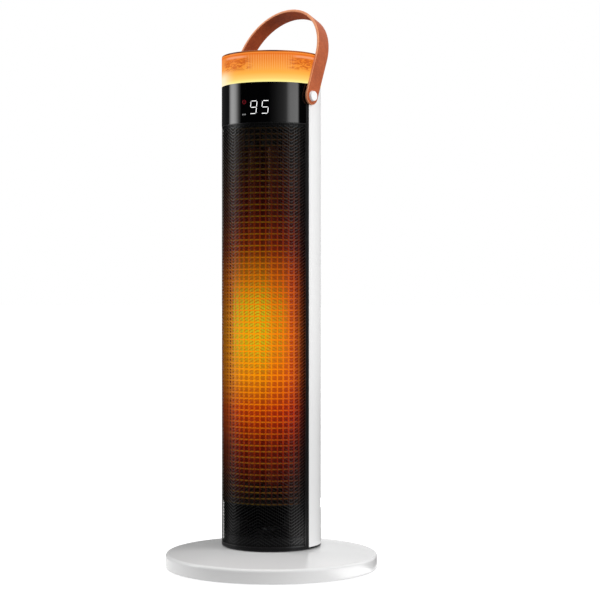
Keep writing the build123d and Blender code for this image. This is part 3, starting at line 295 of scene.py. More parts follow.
# Colour, tone spread, roughness, gloss spread, grain size and bump depth in mm, stretch, metallic, coat.
finishes = {
    "white_gloss_plastic": ((0.86, 0.86, 0.86), 0.03, 0.24, 0.06, 1.6, 0.003),
    "black_gloss_panel": ((0.0012, 0.0012, 0.0014), 0.3, 0.08, 0.04, 2.4, 0.001),
    "black_plastic": ((0.005, 0.005, 0.0055), 0.3, 0.36, 0.1, 0.45, 0.02),
    "steel": ((0.5, 0.51, 0.53), 0.25, 0.34, 0.16, 0.35, 0.006, (1, 1, 0.08), 1.0),
    "blackened_steel": ((0.01, 0.01, 0.0105), 0.4, 0.5, 0.12, 0.3, 0.006),
    "baffle_steel": ((0.004, 0.003, 0.003), 0.3, 0.7, 0.1, 0.4, 0.004),
    "cast_iron": ((0.1, 0.1, 0.105), 0.5, 0.62, 0.2, 1.1, 0.14, (1, 1, 1), 0.7),
    "black_rubber": ((0.022, 0.022, 0.023), 0.4, 0.72, 0.12, 0.5, 0.03),
    "brass": ((0.72, 0.5, 0.2), 0.25, 0.32, 0.14, 0.3, 0.008, (1, 1, 6), 1.0),
    "acetal": ((0.78, 0.77, 0.72), 0.08, 0.42, 0.1, 0.6, 0.01),
    "ceramic": ((0.74, 0.71, 0.64), 0.16, 0.7, 0.12, 0.4, 0.03),
    "component_black": ((0.022, 0.022, 0.025), 0.3, 0.44, 0.12, 0.3, 0.015),
    "white_reflector": ((0.86, 0.84, 0.78), 0.05, 0.5, 0.1, 0.5, 0.01),
    "white_stud": ((0.97, 0.97, 0.97), 0.03, 0.18, 0.05, 1.0, 0.002, (1, 1, 1), 0.0, 0.5),
    "polished_reflector": ((0.05, 0.03, 0.015), 0.2, 0.5, 0.12, 0.5, 0.006, (1, 1, 0.1), 1.0),
    "glowing_filament": ((0.05, 0.035, 0.02), 0.2, 0.6, 0.1, 0.3, 0.004, (1, 1, 1), 1.0),
    "guard_wire": ((0.02, 0.012, 0.006), 0.2, 0.6, 0.1, 0.3, 0.006),
    "guard_wire_upright": ((0.02, 0.012, 0.006), 0.2, 0.6, 0.1, 0.3, 0.006),
    "black_mesh": ((0.005, 0.005, 0.0052), 0.3, 0.31, 0.06, 0.4, 0.01),
    "black_mesh_inside": ((0.003, 0.003, 0.003), 0.3, 0.6, 0.06, 0.4, 0.01),
}
dullSheen = {"black_plastic": 0.2, "blackened_steel": 0.1}


def addGrain(shader, colour, toneSpread, roughness, glossSpread, grain, stretch=(1, 1, 1)):
    made = useGroup(shader, "surfaceGrain", {
        "Colour": colour, "Tone Spread": toneSpread, "Roughness": roughness, "Gloss Spread": glossSpread,
        "Grain Size": grain * mm, "Stretch": stretch})
    feed(shader, {"Base Color": made["Colour"], "Roughness": made["Roughness"]})
    return made


def grainedMaterial(name, colour, toneSpread, roughness, glossSpread, grain, depth, stretch=(1, 1, 1),
                    metallic=0.0, coat=0.0):
    shader = newMaterial(name, {"Metallic": metallic, "Coat Weight": coat, "Coat Roughness": 0.06})
    made = addGrain(shader, colour, toneSpread, roughness, glossSpread, grain, stretch)
    addBump(shader, depth, made["Height"])
    return shader


for name, finish in finishes.items():
    grainedMaterial(name, *finish)
for name, sheen in dullSheen.items():
    feed(shaderOf(name), {"Specular IOR Level": sheen})

# Colours of the element's glow from the bottom of the element to its top, and its fall from the left side to
# the right: the filaments' own glow, and painted glow and painted reflection on the parts round them.
glowStops = {
    # painted glow on the webs of the sheet in front of the element, and painted lines of light where a hoop or
    # an upright lies behind them
    "sheet": [(0, 0, 0, 0), (0.06, 11, 1, 0), (0.15, 62, 3, 0), (0.25, 270, 17, 0), (0.34, 530, 105, 1),
              (0.46, 560, 150, 2), (0.58, 340, 62, 1), (0.68, 75, 4, 0), (0.77, 16, 0, 0), (0.91, 2, 0, 0),
              (1, 0, 0, 0)],
    "sheetLine": [(0, 0, 0, 0), (0.03, 22, 12, 0), (0.15, 160, 45, 0), (0.25, 500, 95, 0), (0.34, 880, 250, 0),
                  (0.46, 950, 260, 0), (0.58, 580, 150, 0), (0.68, 160, 55, 0), (0.77, 60, 26, 0),
                  (0.91, 15, 8, 0), (0.98, 0, 0, 0)],
    "sheetUpright": [(0, 0, 0, 0), (0.06, 20, 2, 0), (0.15, 120, 14, 0), (0.25, 420, 65, 0),
                     (0.34, 820, 250, 0), (0.46, 860, 290, 0), (0.58, 540, 140, 0), (0.68, 170, 22, 0),
                     (0.77, 55, 4, 0), (0.91, 8, 1, 0), (1, 0, 0, 0)],
    # painted glow on the guard's hoops, which are lit by the element
    "hoop": [(0, 50, 32, 3), (0.15, 270, 85, 2), (0.25, 700, 160, 1), (0.34, 1000, 320, 0),
             (0.46, 1000, 320, 0), (0.58, 760, 200, 0), (0.68, 260, 100, 0), (0.77, 120, 55, 0),
             (0.91, 45, 26, 1), (1, 10, 6, 1)],
    # the filaments' own glow, and painted glow on the guard's uprights
    "upright": [(0, 4, 0, 0), (0.06, 50, 2, 1), (0.15, 250, 18, 1), (0.25, 720, 90, 0), (0.34, 950, 320, 0),
                (0.46, 950, 360, 0), (0.58, 740, 180, 0), (0.68, 260, 30, 0), (0.77, 85, 6, 0),
                (0.91, 15, 1, 0), (1, 1, 0, 0)],
    # painted reflection of the glow on the reflector and the quartz, pale on the near side and red on the far
    # side
    "ground": [(0, 2, 0, 0), (0.06, 22, 1, 1), (0.15, 75, 3, 2), (0.25, 300, 30, 3), (0.34, 470, 180, 6),
               (0.42, 460, 450, 12), (0.52, 440, 460, 14), (0.6, 260, 120, 6), (0.68, 70, 10, 3),
               (0.77, 22, 1, 1), (0.91, 3, 0, 0)],
    "groundRed": [(0, 2, 0, 0), (0.15, 65, 2, 1), (0.25, 250, 8, 2), (0.36, 520, 36, 3), (0.48, 500, 50, 4),
                  (0.6, 270, 20, 4), (0.7, 70, 3, 2), (0.8, 18, 1, 1), (1, 1, 0, 0)],
    "across": [(0, 100, 100, 100), (0.18, 360, 360, 300), (0.285, 760, 800, 700), (0.38, 1000, 1000, 1000),
               (0.56, 1000, 980, 1000), (0.69, 970, 740, 900), (0.77, 950, 620, 800), (0.85, 720, 370, 700),
               (0.91, 300, 170, 400), (0.965, 60, 45, 100), (1, 0, 0, 0)],
}


# A surface that shows the element's glow, in colours from the table above by name: the filaments' own glow, or
# painted glow and painted reflection on the parts round them.
def addElementGlow(name, ground, red=None, line=None, upright=None, across="across", sheen=0.1):
    glowMasks = useGroup(shaderOf(name), "elementGlowField")

    def shades(stops, along="Level"):
        return ramp(glowMasks[along], glowStops[stops])

    glow = shades(ground)
    if red:
        glow = mixColour(glowMasks["Pale"], shades(red), glow)
    if upright:
        glow = mixColour(glowMasks["Upright"], glow, shades(upright))
    if line:
        glow = mixColour(glowMasks["Line"], glow, shades(line), "LIGHTEN")
    if across:
        glow = mixColour(1.0, glow, shades(across, "Across"), "MULTIPLY")
    feed(shaderOf(name), {"Specular IOR Level": sheen})
    addGlow(name, glow)


# The filaments glow with their own light. The reflector's glow is a painted reflection, and on the guard's
# wires, the baffles and the back and hole walls of the sheet it is painted light from the element.
addElementGlow("polished_reflector", "ground", "groundRed", across=None)
addElementGlow("glowing_filament", "upright", across=None)
addElementGlow("guard_wire", "hoop")
addElementGlow("guard_wire_upright", "upright")
addElementGlow("baffle_steel", "sheet")
addElementGlow("black_mesh_inside", "sheet")

# Powder coat on the perforated sheet: grey away from the element and brown in front of it, where the glow is.
# The element's glow is painted on it: a haze of light over the webs, and painted lines of light over the
# guard's wires.
meshCoat = {
    "brown": (0.008, 0.003, 0.001),
    "brownLevel": (0.02, 0.22, 0.6, 0.9),       # rise and fall of the brown, up the element and across it
    "brownAcross": (0.04, 0.3, 0.84, 0.98),
    "sheen": 0.62,
}


def tintAndGlowMesh():
    shader = shaderOf("black_mesh")
    glowMasks = useGroup(shader, "elementGlowField")
    brownZone = multiply(window(glowMasks["Level"], *meshCoat["brownLevel"]),
                       window(glowMasks["Across"], *meshCoat["brownAcross"]))
    cold = shader.inputs["Base Color"].links[0].from_socket
    feed(shader, {"Base Color": mixColour(brownZone, cold, meshCoat["brown"])})
    addElementGlow("black_mesh", "sheet", None, "sheetLine", "sheetUpright", sheen=meshCoat["sheen"])


tintAndGlowMesh()


def makeQuartz():
    shader = newMaterial("quartz_glass", {"Metallic": 0.0, "Transmission Weight": 0.25, "IOR": 1.45})
    addGrain(shader, (0.12, 0.04, 0.012), 0.06, 0.3, 0.08, 1.2, (1, 1, 0.12))
    # the element's glow painted on the quartz tubes as emission: a painted glow, pale on the near side and red
    # on the far side
    addElementGlow("quartz_glass", "ground", "groundRed", across=None)


# Solder mask with copper runs under it and tinned pads.
def makeCircuitBoard():
    shader = newMaterial("circuit_board")
    place = objectPoint(shader)
    runs = addNode("TexVoronoi", {"Vector": place, "Scale": 260.0, "Randomness": 0.35},
                   feature="DISTANCE_TO_EDGE").outputs["Distance"]
    spots = addNode("TexVoronoi", {"Vector": place, "Scale": 210.0, "Randomness": 0.6}).outputs["Distance"]
    track, pad = remap(runs, 0.06, 0.1, 1.0, 0.0), remap(spots, 0.12, 0.16, 1.0, 0.0)
    made = addGrain(shader, (0.014, 0.11, 0.045), 0.2, 0.32, 0.1, 0.4)
    masked = mixColour(track, made["Colour"], (0.035, 0.2, 0.075))
    feed(shader, {"Base Color": mixColour(pad, masked, (0.62, 0.61, 0.58)), "Metallic": pad})
    addBump(shader, 0.04, calc("MAXIMUM", pad, multiply(track, 0.5)))


ledFace = (518.7 * mm, 520.1 * mm)      # the LEDs pale from their foot to their face


def makeLedLens():
    shader = newMaterial("led_lens", {"Roughness": 0.2})
    warm = mixColour(remap(splitPoint(shader)[2], *ledFace), (0.9, 0.55, 0.12), (1.0, 0.84, 0.5))
    speck = noise(objectPoint(shader), 900.0)
    feed(shader, {"Base Color": mixColour(speck, warm, (1.0, 0.9, 0.6))})
    addGlow("led_lens", warm)


lightRing = {
    "bottom": 0.5213,
    "height": 0.032,
    "ribs": 180,
    "ribBand": (0.3, 0.5, 0.86, 0.97),      # each band rises and falls between these shares of the height
    "flares": 4,                            # cloudy patches round the ring
    "flareAngle": -6.0,                     # middle of the first, in degrees from the front
    "cloudBand": (0.36, 0.52, 0.78, 0.9),
    "cloudSize": (7 * mm, 2.1 * mm),
    "sheenArcBand": (0.8, 0.85, 0.87, 0.92),     # painted sheen: a pale arc of reflected light where the wall turns in under the top
    "glareCorner": (-4.0, -34.0, -100.0, -150.0),    # painted glare: the wall is washed out with pale light low down inside these angles
    "glareLevel": (0.56, 0.2),
    # the ring's own light up its height; the brighter stop at 0.97 is a painted highlight along the top edge
    "colours": [(0, 1000, 930, 360), (0.05, 1000, 820, 250), (0.12, 980, 640, 170), (0.3, 930, 450, 70),
                (0.5, 870, 310, 35), (0.74, 780, 200, 14), (0.9, 760, 165, 12), (0.945, 700, 130, 8),
                (0.97, 900, 300, 50), (1, 620, 120, 10)],
}


def makeAmberRing():
    shader = newMaterial("amber_diffuser", {"Roughness": 0.34, "Specular IOR Level": 0.06})
    parts = splitPoint(shader)
    angle = angleRound(parts)
    level = calc("DIVIDE", calc("SUBTRACT", parts[2], lightRing["bottom"]), lightRing["height"])
    glow = ramp(level, lightRing["colours"])

    # cloudy patches where the light bends in the thick wall
    turned = calc("SUBTRACT", angle, radians(lightRing["flareAngle"]))
    wave = calc("COSINE", multiply(turned, float(lightRing["flares"])))
    wide, high = lightRing["cloudSize"]
    along = calc("DIVIDE", multiply(angle, columnRadius), wide)
    cloudPlace = addNode("CombineXYZ", {0: along, 1: calc("DIVIDE", parts[2], high)}).outputs[0]
    cloud = addNode("TexNoise", {"Vector": cloudPlace, "Scale": 1.0, "Detail": 2.5, "Distortion": 1.1},
                    noise_dimensions="2D").outputs[0]
    cloudy = multiply(remap(cloud, 0.45, 0.54), window(level, *lightRing["cloudBand"]),
                      remap(wave, -0.4, 0.35))
    glow = mixColour(multiply(cloudy, 0.9), glow, (0.58, 0.11, 0.006))

    # fine upright ribs between the patches
    rib = calc("COSINE", multiply(angle, float(lightRing["ribs"])))
    ribs = multiply(remap(rib, 0.1, 0.9, kind="LINEAR"), window(level, *lightRing["ribBand"]),
                    calc("MULTIPLY_ADD", remap(wave, 0.0, 0.7), -0.85, 1.0))
    glow = mixColour(multiply(ribs, 0.5), glow, (1.0, 0.6, 0.24))

    # painted sheen along the arc, and painted glare low down in the corner
    arc = multiply(window(level, *lightRing["sheenArcBand"]), remap(wave, 0.1, 0.8), 0.36)
    glow = mixColour(arc, glow, (1.0, 0.62, 0.42))
    corner = multiply(window(angle, *np.radians(lightRing["glareCorner"]).tolist()),
                      remap(level, *lightRing["glareLevel"]), 0.9)
    glow = mixColour(corner, glow, (1.0, 0.9, 0.66))
    feed(shader, {"Base Color": mixColour(cloudy, (0.12, 0.03, 0.004), (0.07, 0.012, 0.002))})
    addBump(shader, 0.02, ribs)
    addGlow("amber_diffuser", glow)


def makeLeather(name, light, dark, depth=0.05):
    shader = newMaterial(name, {"Specular IOR Level": 0.25})
    made = useGroup(shader, "hide", {"Light": light, "Dark": dark})
    feed(shader, {"Base Color": made["Colour"], "Roughness": made["Roughness"]})
    addBump(shader, depth, made["Height"])


# The casing is white outside; inside it is painted near black as painted shade.
def makeCasing():
    shader = grainedMaterial("white_gloss_casing", *finishes["white_gloss_plastic"])
    radius = length(flatPoint(splitPoint(shader)))
    outside = remap(radius, columnRadius - 2.0 * mm, columnRadius - 1.8 * mm)
    white = shader.inputs["Base Color"].links[0].from_socket
    feed(shader, {"Base Color": mixColour(outside, (0.012, 0.012, 0.012), white)})


# The thin rim of the top has the amber light of the ring below it painted on as emission: a painted glow.
def makeTopCover():
    shader = grainedMaterial("black_gloss_cover", *finishes["black_gloss_panel"])
    flat = flatPoint(splitPoint(shader))
    rim = remap(length(flat), columnRadius - 1.3 * mm, columnRadius - 0.9 * mm)
    around = remap(noise(flat, 22.0, 1.0), 0.4, 0.6)
    # painted glow: the ring's amber light, uneven round the rim
    amber = mixColour(around, (0.1, 0.02, 0.003), (0.42, 0.11, 0.012))
    feed(shader, {"Specular IOR Level": 0.2})
    addGlow("black_gloss_cover", mixColour(rim, (0, 0, 0), amber))


makeLeather("tan_leather", (0.5, 0.123, 0.044), (0.37, 0.084, 0.032))
makeLeather("tan_leather_edge", (0.95, 0.42, 0.22), (0.85, 0.33, 0.17), 0.02)
makeLeather("tan_leather_inside", (0.74, 0.15, 0.05), (0.56, 0.105, 0.037))
for make in (makeQuartz, makeCircuitBoard, makeLedLens, makeAmberRing, makeCasing, makeTopCover):
    make()
# nodes that wear another finish than their slot's: the two above, and the metal behind the sheet, blackened as
# painted shade so that it stays dark there
repainted = {"rear_casing": "white_gloss_casing", "top_cover": "black_gloss_cover"} | dict.fromkeys(
    ("lower_tube_bracket", "tube_end_caps", "upper_tube_bracket", "oscillation_motor", "motor_screws",
     "tip_over_switch", "swivel_retainer", "swivel_circlip", "casing_screws"), "blackened_steel")

for slot in frame["record"]["subparts"]:
    node = frame["nodes"][slot["node"]]
    node.data.materials.clear()
    node.data.materials.append(materials[repainted.get(slot["node"], slot["material_slot"])])
print("finishes on", len(frame["nodes"]), "nodes")


def meshPiece(name, corners, faces, looks, faceFinish=None, sharpAngle=40):
    mesh = bpy.data.meshes.new(name)
    mesh.from_pydata(corners, [], faces)
    for look in looks:
        mesh.materials.append(materials[look])
    if faceFinish:
        mesh.polygons.foreach_set("material_index", faceFinish)
    mesh.polygons.foreach_set("use_smooth", [True] * len(mesh.polygons))
    mesh.set_sharp_from_angle(angle=radians(sharpAngle))
    mesh.update()
    piece = bpy.data.objects.new(name, mesh)
    scene.collection.objects.link(piece)
    return piece


def onColumn(angle, radius, height):
    return (radius * sin(angle), -radius * cos(angle), height)


# One piece from rows of rings of points, listed by their finish. Each row is closed at both ends.
def ringPiece(name, rows, sharpAngle=40):
    corners, faces, finish = [], [], []
    for k, rings in ((k, row) for k, group in enumerate(rows.values()) for row in group):
        first, sides = len(corners), len(rings[0])
        last = first + (len(rings) - 1) * sides
        corners.extend(point for ring in rings for point in ring)
        for start in range(first, last, sides):
            for side in range(sides):
                after = (side + 1) % sides
                faces.append((start + side, start + after, start + sides + after, start + sides + side))
        faces += [tuple(reversed(range(first, first + sides))), tuple(range(last, last + sides))]
        finish += [k] * (len(faces) - len(finish))
    return meshPiece(name, corners, faces, list(rows), finish, sharpAngle)


# A round wire along a row of points.
def wireRings(points, radius, sides):
    points = np.asarray(points, float)
    ahead = np.gradient(points, axis=0)
    ahead /= np.linalg.norm(ahead, axis=1)[:, None]
    out = np.cross(ahead[0], (0.31, 0.17, 0.93))
    turns, rings = [tau * side / sides for side in range(sides)], []
    for point, forward in zip(points, ahead):
        out = out - forward * out.dot(forward)
        out /= np.linalg.norm(out)
        across = np.cross(forward, out)
        rings.append([point + radius * (cos(turn) * out + sin(turn) * across) for turn in turns])
    return rings


# A bent plate round the column.
def plateRings(angles, inner, outer, low, high):
    section = ((outer, low), (outer, high), (inner, high), (inner, low))
    return [[onColumn(angle, *place) for place in section] for angle in angles]


sheet = {
    "radius": 53.8 * mm,
    "thickness": 0.15 * mm,
    "rowPitch": 3.35 * mm,
    "columnPitch": 2.0 * mm,
    "holeReach": (0.44, 0.385),      # half of a hole across and up, as shares of its cell
    "cornerStart": 0.75,             # where a hole's cut corner begins, as a share of its reach
    "turns": (-8.8, 25.4, 62.7),     # angles at which the slanting rows change direction
    "sideMargin": 0.8 * mm,
    "endMargin": 0.5 * mm,
}


# Slanting rows of holes, laid out flat and then bent round the column.
def makeFrontSheet():
    low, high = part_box("front_grille")
    bottom, top = low.z + sheet["endMargin"], high.z - sheet["endMargin"]
    radius, rowPitch = sheet["radius"], sheet["rowPitch"]
    halfArc = np.arctan2(high.x, -high.y) * radius
    halfField = halfArc - sheet["sideMargin"]
    columns = round(2 * halfField / sheet["columnPitch"])
    borders = np.linspace(-halfField, halfField, columns + 1)

    # each border between two columns has its own set of levels, a third of a row up or down from the last
    levels, shift = [], 0.0
    for k, x in enumerate(borders):
        if k:
            turned = sum(degrees((x + borders[k - 1]) / 2 / radius) > turn for turn in sheet["turns"])
            shift += rowPitch / 3 * (1 if turned % 2 else -1)
        first = ceil((bottom - shift) / rowPitch + 0.45)
        last = floor((top - shift) / rowPitch - 0.45)
        levels.append({row: shift + row * rowPitch for row in range(first, last + 1)})

    places, lookup = [], {}

    def corner(x, z):
        key = (round(x * 1e7), round(z * 1e7))
        if key not in lookup:
            lookup[key] = len(places)
            places.append((x, z))
        return lookup[key]

    def between(share, first, last):
        return first + (0.5 + share) * (last - first)

    def openEdges(faces):
        edges = {(face[k], face[(k + 1) % len(face)]) for face in faces for k in range(len(face))}
        return [(a, b) for a, b in edges if (b, a) not in edges]

    def chain(border, row, firstRow, lastRow):
        heights = levels[border]
        if row < firstRow:
            return [bottom] + [z for index, z in heights.items() if index <= firstRow]
        if row == lastRow:
            return [z for index, z in heights.items() if index >= lastRow] + [top]
        return [heights[row], heights[row + 1]]

    across, up = sheet["holeReach"]
    cutAcross, cutUp = across * sheet["cornerStart"], up * sheet["cornerStart"]
    outline = [(-across, -cutUp), (-cutAcross, -up), (cutAcross, -up), (across, -cutUp),
               (across, cutUp), (cutAcross, up), (-cutAcross, up), (-across, cutUp)]
    faces, holes = [], 0
    for k in range(columns):
        firstRow = max(min(levels[k]), min(levels[k + 1]))
        lastRow = min(max(levels[k]), max(levels[k + 1]))
        for row in range(firstRow - 1, lastRow + 1):
            left, right = chain(k, row, firstRow, lastRow), chain(k + 1, row, firstRow, lastRow)
            hole = [corner(between(u, *borders[k:k + 2]),
                           between(u, between(v, left[0], left[-1]), between(v, right[0], right[-1])))
                    for u, v in outline]
            leftSide = [corner(borders[k], z) for z in left]
            rightSide = [corner(borders[k + 1], z) for z in right]
            faces += [
                (leftSide[0], rightSide[0], hole[2], hole[1]), (*rightSide, hole[4], hole[3]),
                (rightSide[-1], leftSide[-1], hole[6], hole[5]), (*reversed(leftSide), hole[0], hole[7]),
                (leftSide[0], hole[1], hole[0]), (rightSide[0], hole[3], hole[2]),
                (rightSide[-1], hole[5], hole[4]), (leftSide[-1], hole[7], hole[6])]
            holes += 1

    # plain margins round the field of holes
    sides, ends = {-halfField: -halfArc, halfField: halfArc}, {bottom: low.z, top: high.z}
    for first, second in sorted(openEdges(faces)):
        (x0, z0), (x1, z1) = places[first], places[second]
        if x0 == x1 and x0 in sides:
            faces.append((second, first, corner(sides[x0], z0), corner(sides[x0], z1)))
        if z0 == z1 and z0 in ends:
            faces.append((second, first, corner(x0, ends[z0]), corner(x1, ends[z0])))
    for x, outX in sides.items():
        for z, outZ in ends.items():
            square = (corner(x, z), corner(outX, z), corner(outX, outZ), corner(x, outZ))
            faces.append(square if (outX > 0) == (outZ == high.z) else square[::-1])

    flat = np.array(places)
    turn = flat[:, 0] / radius
    shells = [np.stack([r * np.sin(turn), -r * np.cos(turn), flat[:, 1]], 1)
              for r in (radius, radius - sheet["thickness"])]
    total = len(places)
    walls = sorted((b, a, a + total, b + total) for a, b in openEdges(faces))
    back = [tuple(index + total for index in reversed(face)) for face in faces]
    # the back and the hole walls take a darker, duller coat, as painted shade, with the element's glow painted
    # on it
    finish = [0] * len(faces) + [1] * (len(back) + len(walls))
    piece = meshPiece("frontSheet", np.concatenate(shells), faces + back + walls,
                      ["black_mesh", "black_mesh_inside"], finish)
    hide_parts("front_grille")
    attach(piece, "tower")
    print("front sheet:", columns, "columns,", holes, "holes")


makeFrontSheet()


def makeWireGuard():
    low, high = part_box("element_guard")
    hoopWire, uprightWire, sides = guard["hoopWire"], guard["uprightWire"], guard["sides"]
    alongHoop, alongUpright = guard["points"]
    angles = np.radians(np.linspace(-guard["halfAngle"], guard["halfAngle"], alongHoop))
    hoops = [wireRings([onColumn(angle, guard["outer"] - hoopWire, z) for angle in angles], hoopWire, sides)
             for z in np.linspace(low.z + hoopWire, high.z - hoopWire, guard["hoops"])]
    reach = guard["uprightStep"] * (guard["uprights"] - 1) / 2
    radius, levels = guard["outer"] + uprightWire - guard["weld"], np.linspace(low.z, high.z, alongUpright)
    uprights = [wireRings([onColumn(angle, radius, z) for z in levels], uprightWire, sides)
                for angle in np.radians(np.linspace(-reach, reach, guard["uprights"]))]
    piece = ringPiece("wireGuard", {"guard_wire": hoops, "guard_wire_upright": uprights})
    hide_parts("element_guard")
    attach(piece, "tower")
    print("wire guard:", guard["hoops"], "hoops and", guard["uprights"], "uprights")


makeWireGuard()

# Fine gauze inside the casing, behind the two groups of vents.
gauze = {
    "radius": 51.45 * mm,
    "thickness": 0.25 * mm,
    "bead": 0.35 * mm,          # rolled border
    "halfAngle": 27.5,
    "levels": [(107.5 * mm, 162.0 * mm), (422.5 * mm, 477.0 * mm)],     # lower and upper edge of each
    "weave": 0.9 * mm,
}


def makeGauzeFinish():
    shader = newMaterial("gauze_black", {"Roughness": 0.7})
    parts = splitPoint(shader)
    around = multiply(calc("ARCTAN2", parts[0], parts[1]), gauze["radius"])
    waves = [calc("SINE", multiply(value, tau / gauze["weave"])) for value in (around, parts[2])]
    weave = calc("MULTIPLY_ADD", multiply(*waves), 0.5, 0.5)
    feed(shader, {"Base Color": mixColour(weave, (0.006, 0.006, 0.006), (0.03, 0.03, 0.032))})
    addBump(shader, 0.15, weave)


def makeGauze():
    makeGauzeFinish()
    rows = []
    angles = np.radians(180 + np.linspace(-gauze["halfAngle"], gauze["halfAngle"], 25))
    inner, outer = gauze["radius"] - gauze["thickness"], gauze["radius"]
    for low, high in gauze["levels"]:
        border = [(angle, low) for angle in angles] + [(angles[-1], z) for z in np.linspace(low, high, 9)[1:-1]]
        border += [(angle, high) for angle in reversed(angles)]
        border += [(angles[0], z) for z in np.linspace(high, low, 9)[1:-1]]
        bead = [onColumn(angle, (inner + outer) / 2, z) for angle, z in border + border[:2]]
        rows += [plateRings(angles, inner, outer, low, high), wireRings(bead, gauze["bead"], 6)]
    piece = ringPiece("ventGauze", {"gauze_black": rows})
    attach(piece, "tower")
    print("gauze behind the vents")


makeGauze()

# The reflector's turned ends, which close the gap to the sheet on both sides: near-black plates that stand in
# for the shade there, with the element's glow painted on them.
baffle = {
    "sides": {-1: (52.7 * mm, 30.0 * mm), 1: (49.0 * mm, 39.0 * mm)},   # radius and lower edge, left and right
    "thickness": 0.35 * mm,
    "angles": (62.0, 86.0),
    "upperEdge": 478.0 * mm,
}


def makeBaffles():
    plates = []
    for side, (inner, low) in baffle["sides"].items():
        angles = np.radians(np.linspace(*sorted(side * angle for angle in baffle["angles"]), 9))
        plates.append(plateRings(angles, inner, inner + baffle["thickness"], low, baffle["upperEdge"]))
    piece = ringPiece("sideBaffles", {"baffle_steel": plates})
    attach(piece, "tower")
    print("side baffles")


makeBaffles()

coil = {
    "wire": 0.35 * mm,
    "radius": 2.0 * mm,
    "room": 2.4 * mm,           # from the coil's axis to the outside of the space it holds
    "pitch": 1.9 * mm,
    "tail": 14 * mm,            # straight wire at each end
    "tailGap": 2 * mm,          # over which the tail runs out into the first turn
    "stepsPerTurn": 14,
}


def makeCoils():
    low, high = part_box("heating_filaments")
    centreY = (low.y + high.y) / 2
    halfSpread = (high.x - low.x) / 2 - coil["room"]
    coils = []
    first, last = low.z + coil["tail"], high.z - coil["tail"]
    turns = int((last - first) / coil["pitch"])
    steps = turns * coil["stepsPerTurn"]
    for x in (-halfSpread, halfSpread):
        points = [(x, centreY, height) for height in np.linspace(low.z, first - coil["tailGap"], 4)]
        for step in range(steps + 1):
            turn = tau * step / coil["stepsPerTurn"]
            points.append((x + coil["radius"] * cos(turn), centreY + coil["radius"] * sin(turn),
                           first + (last - first) * step / steps))
        points += [(x, centreY, height) for height in np.linspace(last + coil["tailGap"], high.z, 4)]
        coils.append(wireRings(points, coil["wire"], 5))
    piece = ringPiece("filamentCoils", {"glowing_filament": coils}, sharpAngle=80)
    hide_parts("heating_filaments")
    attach(piece, "tower")
    print("filament coils:", turns, "turns each")


makeCoils()

# Lit figures on the panel.
display = {
    "lift": 0.03 * mm,
    "thickness": 0.05 * mm,
    "height": 494.5 * mm,
    "figures": {"9": (20.1, "abcdfg"), "5": (33.6, "acdfg")},     # degrees from the front, and lit bars
    "figureWidth": 7.4 * mm,
    "figureHeight": 13.9 * mm,
    "bar": 0.58 * mm,
    "barTip": 0.12,                          # width at the ends of a bar, as a share of the full one
    "gap": 0.5 * mm,
    "slant": 6.0,
    "marksAngle": 8.4,
    "ringHeight": 500.6 * mm,
    "ringRadii": (2.3 * mm, 1.702 * mm),
    "ringArc": (100, 440, 29),               # where the ring starts and ends, and its points
    "stem": (0.28, 0.6),                     # half its width and height, in mm
    "marksHeight": 487.4 * mm,
    "marksStart": (-2.4, -0.8, 0.8),         # left edges, in mm
    "markSize": (1.1, 1.5),
}


def litMaterial(name, colour, glow):
    shader = newMaterial(name, {"Roughness": 0.25, "Emission Strength": glow})
    made = useGroup(shader, "surfaceGrain", {"Colour": colour, "Tone Spread": 0.12, "Grain Size": 0.5 * mm})
    feed(shader, {"Base Color": made["Colour"], "Emission Color": made["Colour"]})


# A thin film on the panel, from strips given as rows of point pairs (along the skin, up), in metres.
def makeFilm(name, strips, finish, angle, height):
    inner = columnRadius + display["lift"]
    outer = inner + display["thickness"]
    films = [[[onColumn(radians(angle) + x / columnRadius, radius, height + z)
               for radius, (x, z) in ((inner, a), (inner, b), (outer, b), (outer, a))]
              for a, b in strip] for strip in strips]
    piece = ringPiece(name, {finish: films})
    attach(piece, "tower")


def barStrip(x0, z0, x1, z1):
    halfBar, steps = display["bar"] / 2, 6
    span = hypot(x1 - x0, z1 - z0)
    ux, uz = (x1 - x0) / span, (z1 - z0) / span
    places = [0.0, *np.linspace(halfBar, span - halfBar, steps), span]
    tip = display["barTip"] * halfBar
    widths = [tip, *[halfBar] * steps, tip]
    lean = tan(radians(display["slant"]))
    strip = []
    for place, width in zip(places, widths):
        pair = [(x0 + ux * place + side * uz * width, z0 + uz * place - side * ux * width) for side in (1, -1)]
        strip.append([(x + lean * z, z) for x, z in pair])
    return strip


